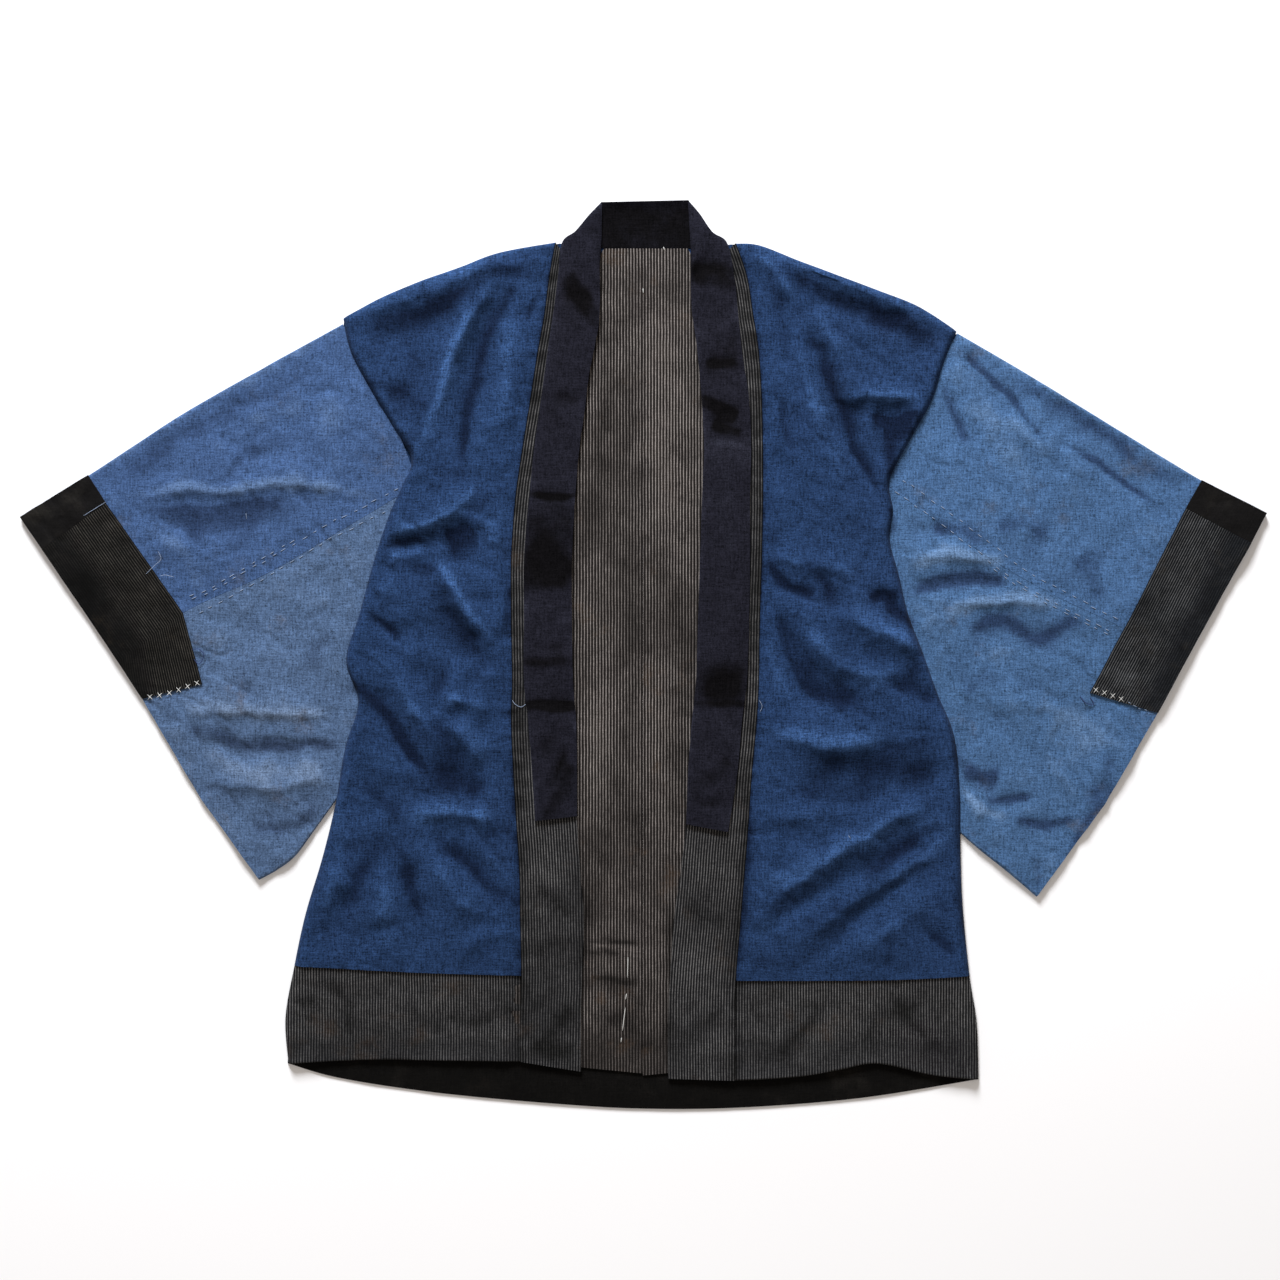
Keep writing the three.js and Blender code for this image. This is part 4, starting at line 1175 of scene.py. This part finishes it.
def body(side):
    """A blue length: the front down to the seam over its hem, turned over the shoulder to the back."""
    rows = HEM * PER_SECTION + 1
    outer = front_line(side, "side", PER_SECTION)[:rows]
    seam = front_line(side, "seam", PER_SECTION)[:rows] + OUTWARDS[side]
    top = through(SHOULDER[side], FRONT_COLUMNS)
    bottom = through(HEM_SEAM[side], FRONT_COLUMNS) - DOWN
    front = filled(top, bottom, outer, seam)
    outer, seam = (by_sections(line, BACK_PER_SECTION) for line in zip(*BACK[side]))
    seam = seam + OUTWARDS[side]
    back = filled(top, np.linspace(outer[-1], seam[-1], FRONT_COLUMNS), outer, seam)
    back[-1] -= DOWN
    # rubbing with painted light and painted shade from the fronts' map
    return turned_cloth("body_" + side, front, front_heights(front), back, INDIGO, "indigo", FRONT_WEAR_AND_SHADE)


def facing(side):
    """The striped strip from a front's long seam to the opening. The stripes follow the seam."""
    seam = front_line(side, "seam", PER_SECTION) - OUTWARDS[side]
    rows = ruled([seam, front_line(side, "edge", PER_SECTION)], FACING_STEP).transpose(1, 0, 2)
    away = np.linalg.norm(rows - rows[:, :1], axis=2)
    uv = np.stack([away, FACING_V * rows[..., 1]], axis=2)
    # rubbing with painted light and painted shade from the fronts' map
    top, wear_and_shade = on_front(rows), looked_up(FRONT_WEAR_AND_SHADE, rows)
    return laid("facing_" + side, rows, top - CLOTH, top, DARK_STRIPE, "dark_stripe", uv, wear_and_shade)


def collar(side):
    """One arm of the collar. At the nape it climbs from the lining's level by a smooth step s with a
    bulge of 4 sin(pi s), and from there on it lies on the front. Across, it is arched by
    1.3 (1 - (2t-1)^4)^0.5, with its dents on top."""
    lines = [*NECK[side], *((section.collar, section.edge) for section in FRONTS[side][:COLLAR_END + 1])]
    outer, inner = (by_sections(line, PER_SECTION) for line in zip(*lines))
    rows = ruled([outer, inner], COLLAR_STEP).transpose(1, 0, 2)
    settled = eased(np.arange(len(rows)) / (len(NECK[side]) * PER_SECTION))[:, None]
    resting = on_front(rows) + GAP
    heights = resting * settled + LINING_LEVEL * (1 - settled) + 4.0 * np.sin(np.pi * settled)
    share = np.linspace(0, 1, rows.shape[1])[None, :]
    dent = looked_up(COLLAR_MAP, rows)
    heights = heights + 1.3 * np.sqrt(np.maximum(1 - (2 * share - 1) ** 4, 0)) + dent
    heights = np.maximum(heights, np.minimum(resting, heights.max(axis=1, keepdims=True)) * settled)
    # The collar lighter along its two long edges, darker in its dents and lighter on its bumps as painted
    # shade and light, with the collar's painted light and shade strokes added
    wear_and_shade = 0.3 * (2 * np.abs(share - 0.5)) ** 6 + 0.4 * dent + looked_up(COLLAR_LIGHT_AND_SHADE_MAP, rows)
    return laid("collar_" + side, rows, heights, heights + COLLAR_CLOTH, BLACK, "black_cotton", rows, wear_and_shade)


def nape():
    """The collar round the nape, lying on the table under the ends of its two arms. It is highest at
    its top edge and falls as exp(-9 s) down its height."""
    left, right = (through(line, NAPE_ROWS) for line in zip(*NAPE))
    lap = np.array([NAPE_LAP, 0])
    rows = ruled([left - lap, right + lap], NAPE_STEP).transpose(1, 0, 2)
    share = np.linspace(0, 1, NAPE_ROWS)[:, None]
    rise = 3.6 * np.exp(-share * 9) + 0.25 * looked_up(COLLAR_MAP, rows)
    # Painted shade: the nape darker below its top edge, under the collar's arms that stand over it
    wear_and_shade = np.broadcast_to(0.9 * np.exp(-share * 14) - 0.9, rows.shape[:2])
    return laid("collar_nape", rows, 0.0, COLLAR_CLOTH + rise, BLACK, "black_cotton", rows, wear_and_shade)


def hem_band(side):
    """The striped strip below a blue front, rolled along its hem."""
    start = HEM * PER_SECTION
    outer = front_line(side, "side", PER_SECTION)[start:] + DOWN
    seam = front_line(side, "seam", PER_SECTION)[start:] + OUTWARDS[side]
    top = through(HEM_SEAM[side], FRONT_COLUMNS) + DOWN
    rows = filled(top, through(HEM_EDGE[side], FRONT_COLUMNS), outer, seam)
    away = np.linalg.norm(rows - rows[-1:], axis=2)
    heights = front_heights(rows) + rolled(away, HEM_ROLL, 8) - HEM_ROLL
    heights = np.maximum(heights, LINING_LEVEL + 0.1)
    # rubbing with painted light and painted shade from the fronts' map
    wear_and_shade = looked_up(FRONT_WEAR_AND_SHADE, rows)
    return laid("hem_" + side, rows, heights, heights + CLOTH, DARK_STRIPE, "dark_stripe", rows, wear_and_shade)


def back_hem():
    """The black strip at the back's hem, straight on top on each side of the middle seam."""
    left, mid, right = BACK_HEM_TOP
    top = np.vstack([
        np.linspace(left, mid, BACK_HEM_HALF, endpoint=False),
        np.linspace(mid, right, BACK_HEM_HALF + 1),
    ]) + DOWN
    rows = ruled([top, through(BACK_HEM_EDGE, len(top))], BACK_HEM_STEP)
    high = CLOTH + np.maximum(0.5 * looked_up(FLAT_MAP, rows), 0)
    wear_and_shade = 0.8 * looked_up(PATCHY, rows)
    return laid("hem_back", rows, 0.0, high, BLACK_HEM, "black_cotton", rows, wear_and_shade)


def lining(side):
    """A striped width of the back's lining, from under its front to the middle seam, whose foot is
    drawn 16 lower by a smooth step."""
    edge = through(LINING[side], LINING_ROWS)
    middle_seam = np.stack([np.full(LINING_ROWS, MIDDLE_SEAM), edge[:, 1]], axis=1) + OUTWARDS[side]
    middle_seam[:, 1] += 16 * eased((edge[:, 1] - 900) / 160)
    rows = ruled([edge, middle_seam], LINING_STEP).transpose(1, 0, 2)
    high = on_lining(rows)
    # random patches, with painted light and painted shade and some fading from the strokes
    wear_and_shade = 0.45 * looked_up(PATCHY, rows) + looked_up(LIGHT_SHADE_AND_FADE_MAP, rows)
    return laid("lining_" + side, rows, LINING_LEVEL, high, LINING_LOOK, "lining_stripe", rows, wear_and_shade)


def sleeve(side):
    """A sleeve's upper cloth, turned over the arm's top, and its lower one, turned round the underarm."""
    arm = Arm(*(through(line, SLEEVE_COLUMNS) for line in ARMS[side]))
    for part, lines, back_end in (
        ("upper", [arm.top, arm.cuff_top, arm.seam - DOWN], arm.back_seam - DOWN),
        ("lower", [arm.bottom, arm.lower, arm.cuff_end, arm.seam + DOWN], arm.back_seam + DOWN),
    ):
        rows = ruled(lines, SLEEVE_STEP)
        back = ruled([rows[0], back_end], SLEEVE_BACK_STEP)
        name, look = "sleeve_" + side + "_" + part, SLEEVE_LOOKS[side, part]
        # rubbing with painted light and painted shade from the sleeves' map
        yield turned_cloth(name, rows, on_sleeve(rows) - CLOTH, back, look, "faded_indigo", SLEEVE_WEAR_AND_SHADE)


def cuff(side):
    """The plain piece at the top of a sleeve's mouth and the pin-striped patch below it."""
    names = ("top", "cuff_top", "seam", "cuff_end")
    top, cuff_top, seam, end = (np.linspace(*getattr(ARMS[side], name)[:2], CUFF_COLUMNS) for name in names)
    for part, lines, look, slot in (
        ("top", [top, cuff_top], DARK_CUFF, "black_cotton"),
        ("patch", [cuff_top + 2 * DOWN, seam, end], PIN_STRIPES[side], "pin_stripe"),
    ):
        rows = ruled(lines, CUFF_STEP)
        away = np.linalg.norm(rows - rows[:, -1:], axis=2)
        uv = np.stack([away, rows[..., 1]], axis=2)
        # rubbing with painted light and painted shade from the sleeves' map, and random patches
        wear_and_shade = 0.6 * looked_up(SLEEVE_WEAR_AND_SHADE, rows) + 0.5 * looked_up(PATCHY, rows)
        name = "cuff_" + side + "_" + part
        yield laid(name, rows, on_sleeve(rows) + GAP, on_cuff(rows), look, slot, uv, wear_and_shade)


PIECES = {}
for each in FRONTS:
    PIECES["body", each] = body(each)
    PIECES["facing", each] = facing(each)
    PIECES["collar", each] = collar(each)
    PIECES["hem", each] = hem_band(each)
    PIECES["lining", each] = lining(each)
    PIECES["upper", each], PIECES["lower", each] = sleeve(each)
    PIECES["cuff_top", each], PIECES["cuff_patch", each] = cuff(each)
PIECES["nape", ""] = nape()
PIECES["back_hem", ""] = back_hem()


def strands(name, paths, surface, radius, look, rise=0.5):
    """Threads of round section along paths of table points, given as an array of paths of points.
    Each stands on the surface by its radius, rises in its middle as sin(pi t) and thins to its ends."""
    count, points = paths.shape[:2]
    t = np.linspace(0, 1, points)[None, :]
    z = surface(paths) + radius * 0.7 + rise * np.sin(np.pi * t)
    ahead = np.gradient(paths, axis=1)
    ahead /= np.linalg.norm(ahead, axis=2, keepdims=True) + 1e-9
    aside = np.stack([-ahead[..., 1], ahead[..., 0]], axis=2)
    angle = 2 * np.pi * np.arange(STRAND_SIDES) / STRAND_SIDES
    thin = radius * np.sqrt(np.clip(1 - (2 * t - 1) ** 8, 0.1, 1))[..., None]
    rim = paths[:, :, None] + aside[:, :, None] * (thin * np.cos(angle))[..., None]
    ring = to_frame(rim, z[..., None] + thin * np.sin(angle)).reshape(-1, 3)
    n, i, j = np.mgrid[0:count, 0:points - 1, 0:STRAND_SIDES]
    this = (n * points + i) * STRAND_SIDES
    ahead_of = this + STRAND_SIDES
    after = (j + 1) % STRAND_SIDES
    quads = np.stack([this + j, this + after, ahead_of + after, ahead_of + j], axis=-1).reshape(-1, 4)
    piece = mesh_object(name, ring, quads, look)
    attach(piece, "root")


def stitched(line, pitch, length, aside, seed):
    """Running stitches along a line, a little uneven: one path of five points for each stitch."""
    rng = np.random.default_rng(seed)
    course = through(line)
    total = len(course) - 1
    starts = np.arange(3.0, total - length - 2, pitch)
    starts = starts + rng.uniform(-0.12, 0.12, len(starts)) * pitch
    lengths = length * rng.uniform(0.7, 1.25, len(starts))
    at = starts[:, None] + lengths[:, None] * np.linspace(0, 1, STITCH_POINTS)
    paths = np.stack([np.interp(at, np.arange(total + 1), column) for column in course.T], axis=2)
    ahead = paths[:, -1:] - paths[:, :1]
    ahead = ahead / np.linalg.norm(ahead, axis=2, keepdims=True)
    normal = np.stack([-ahead[..., 1], ahead[..., 0]], axis=2)
    return paths + normal * (aside + rng.uniform(-0.9, 0.9, (len(starts), 1, 1)))


def crossed(line, count, size, seed):
    """Cross stitches along a line: two slanting paths for each cross."""
    rng = np.random.default_rng(seed)
    course = through(line, count)
    tilt = rng.uniform(-0.25, 0.25, count)
    slants = []
    for slant in (0.75, -0.75):
        angle = np.pi / 2 + slant + tilt
        arm = 0.5 * size * np.stack([np.cos(angle), np.sin(angle)], axis=1)
        t = np.linspace(-1, 1, STITCH_POINTS)[None, :, None]
        slants.append(course[:, None] + arm[:, None] * t)
    return np.concatenate(slants)


def curled(path):
    """A loose thread's path through its points."""
    return through(path, 40)[None]


# Stitches along the sleeves' seams, in rows beside them, and crosses under the cuff patches
SLEEVE_SEAMS = {
    "left": listed("404,494 360,516 320,536 280,560 240,583 215,597 190,608"),
    "right": listed("896,484 920,500 940,515 980,545 1020,575 1060,598 1120,629"),
}
ROWS_BESIDE = (-7.5, 7.0, 10.5)
CROSSES = {
    "left": listed("150,697 169,693 197,683"),
    "right": listed("1096,690 1108,694 1121,699"),
}
CROSS_COUNT = {"left": 6, "right": 4}
SMALL_STITCHES = listed("1125,701 1142,709 1154,714")
TACKS = table("""
628,957 627.5,978
626.5,994 625.5,1000
625.3,1008 622.5,1031
621.5,1038 621,1043
643,288 643.4,293
663.6,246.5 664.4,250
""")
LOOSE_ENDS = [
    (on_cuff, "146,574 154,566 161,559 158,551"),
    (on_cuff, "160,576 165,575 170,576 174,577"),
    (on_cuff, "84,516 95,509 106,502"),
    (on_sleeve, "1184,514 1187,524 1186,532 1190,541"),
    (on_front, "512,700 515,704 521,707 526,704"),
    (on_front, "759,700 762,706 760,712"),
    (on_sleeve, "245.5,513 246.3,519"),
    (on_front, "848,835 850,838"),
]
BLUE_END_LEFT = listed("192,650 199,649 204,655 199,664 194,659")
BLUE_END_RIGHT = listed("1080,696 1086,703 1094,704 1090,697")

for each, line in SLEEVE_SEAMS.items():
    rows = [stitched(line, 11.5, 5.2, aside, 80 + k) for k, aside in enumerate(ROWS_BESIDE)]
    rows[-1] = rows[-1][len(rows[-1]) // 2:]
    rows = np.concatenate(rows)
    strands("stitches_sleeve_" + each, rows, on_sleeve, 0.3, DULL_THREAD, 0.25)
for each, line in CROSSES.items():
    crosses = crossed(line, CROSS_COUNT[each], 7.0, 90)
    strands("cross_stitches_" + each, crosses, on_cuff, 0.32, PALE_THREAD, 0.3)
tacks = np.array([through(tack, 8) for tack in TACKS])
strands("tacking_lining", tacks, on_lining, 0.42, PALE_THREAD)
small = stitched(SMALL_STITCHES, 6.0, 3.6, 0, 97)
strands("small_stitches_cuff_right", small, on_cuff, 0.28, DULL_THREAD, 0.2)
for number, (surface, path) in enumerate(LOOSE_ENDS):
    path = curled(listed(path))
    strands("loose_thread_%d" % number, path, surface, 0.22, DULL_THREAD, 0.7)
strands("loose_thread_blue", curled(BLUE_END_LEFT), on_cuff, 0.4, BLUE_THREAD, 1.0)
strands("loose_thread_blue_right", curled(BLUE_END_RIGHT), on_sleeve, 0.4, BLUE_THREAD, 1.0)

# The floor and the light
FLOOR_REACH = 4
FLOOR_LEVEL = -0.0003
floor_corners = [
    (FLOOR_REACH * x, FLOOR_REACH * y, FLOOR_LEVEL) for x, y in ((-1, -1), (1, -1), (1, 1), (-1, 1))]
floor_mesh = bpy.data.meshes.new("floor")
floor_mesh.from_pydata(floor_corners, [], [(0, 1, 2, 3)])
floor_mesh.materials.append(shaded("pale floor", 0.9, 0.0, (0.9, 0.9, 0.9, 1))[0])
floor = placed("floor", floor_mesh)


def area_light(name, place, size, power, tint):
    """A round lamp that shines at the jacket's middle."""
    data = bpy.data.lights.new(name, "AREA")
    data.shape = "DISK"
    data.size = size
    data.energy = power
    data.color = tint
    lamp = placed(name, data)
    lamp.location = place
    lamp.rotation_euler = (-Vector(place)).to_track_quat("-Z", "Y").to_euler()


area_light("window", (-0.7, 3.4, 1.75), 1.4, 312, (0.97, 1.0, 1.05))
area_light("fill", (0.6, -1.5, 3.2), 3.0, 12, (1.0, 0.95, 0.9))
world = bpy.data.worlds.new("soft room")
world.use_nodes = True
background = world.node_tree.nodes["Background"]
background.inputs["Color"].default_value = (1.0, 0.91, 0.84, 1)
background.inputs["Strength"].default_value = 0.4
bpy.context.scene.world = world
bpy.context.scene.view_settings.view_transform = "Standard"
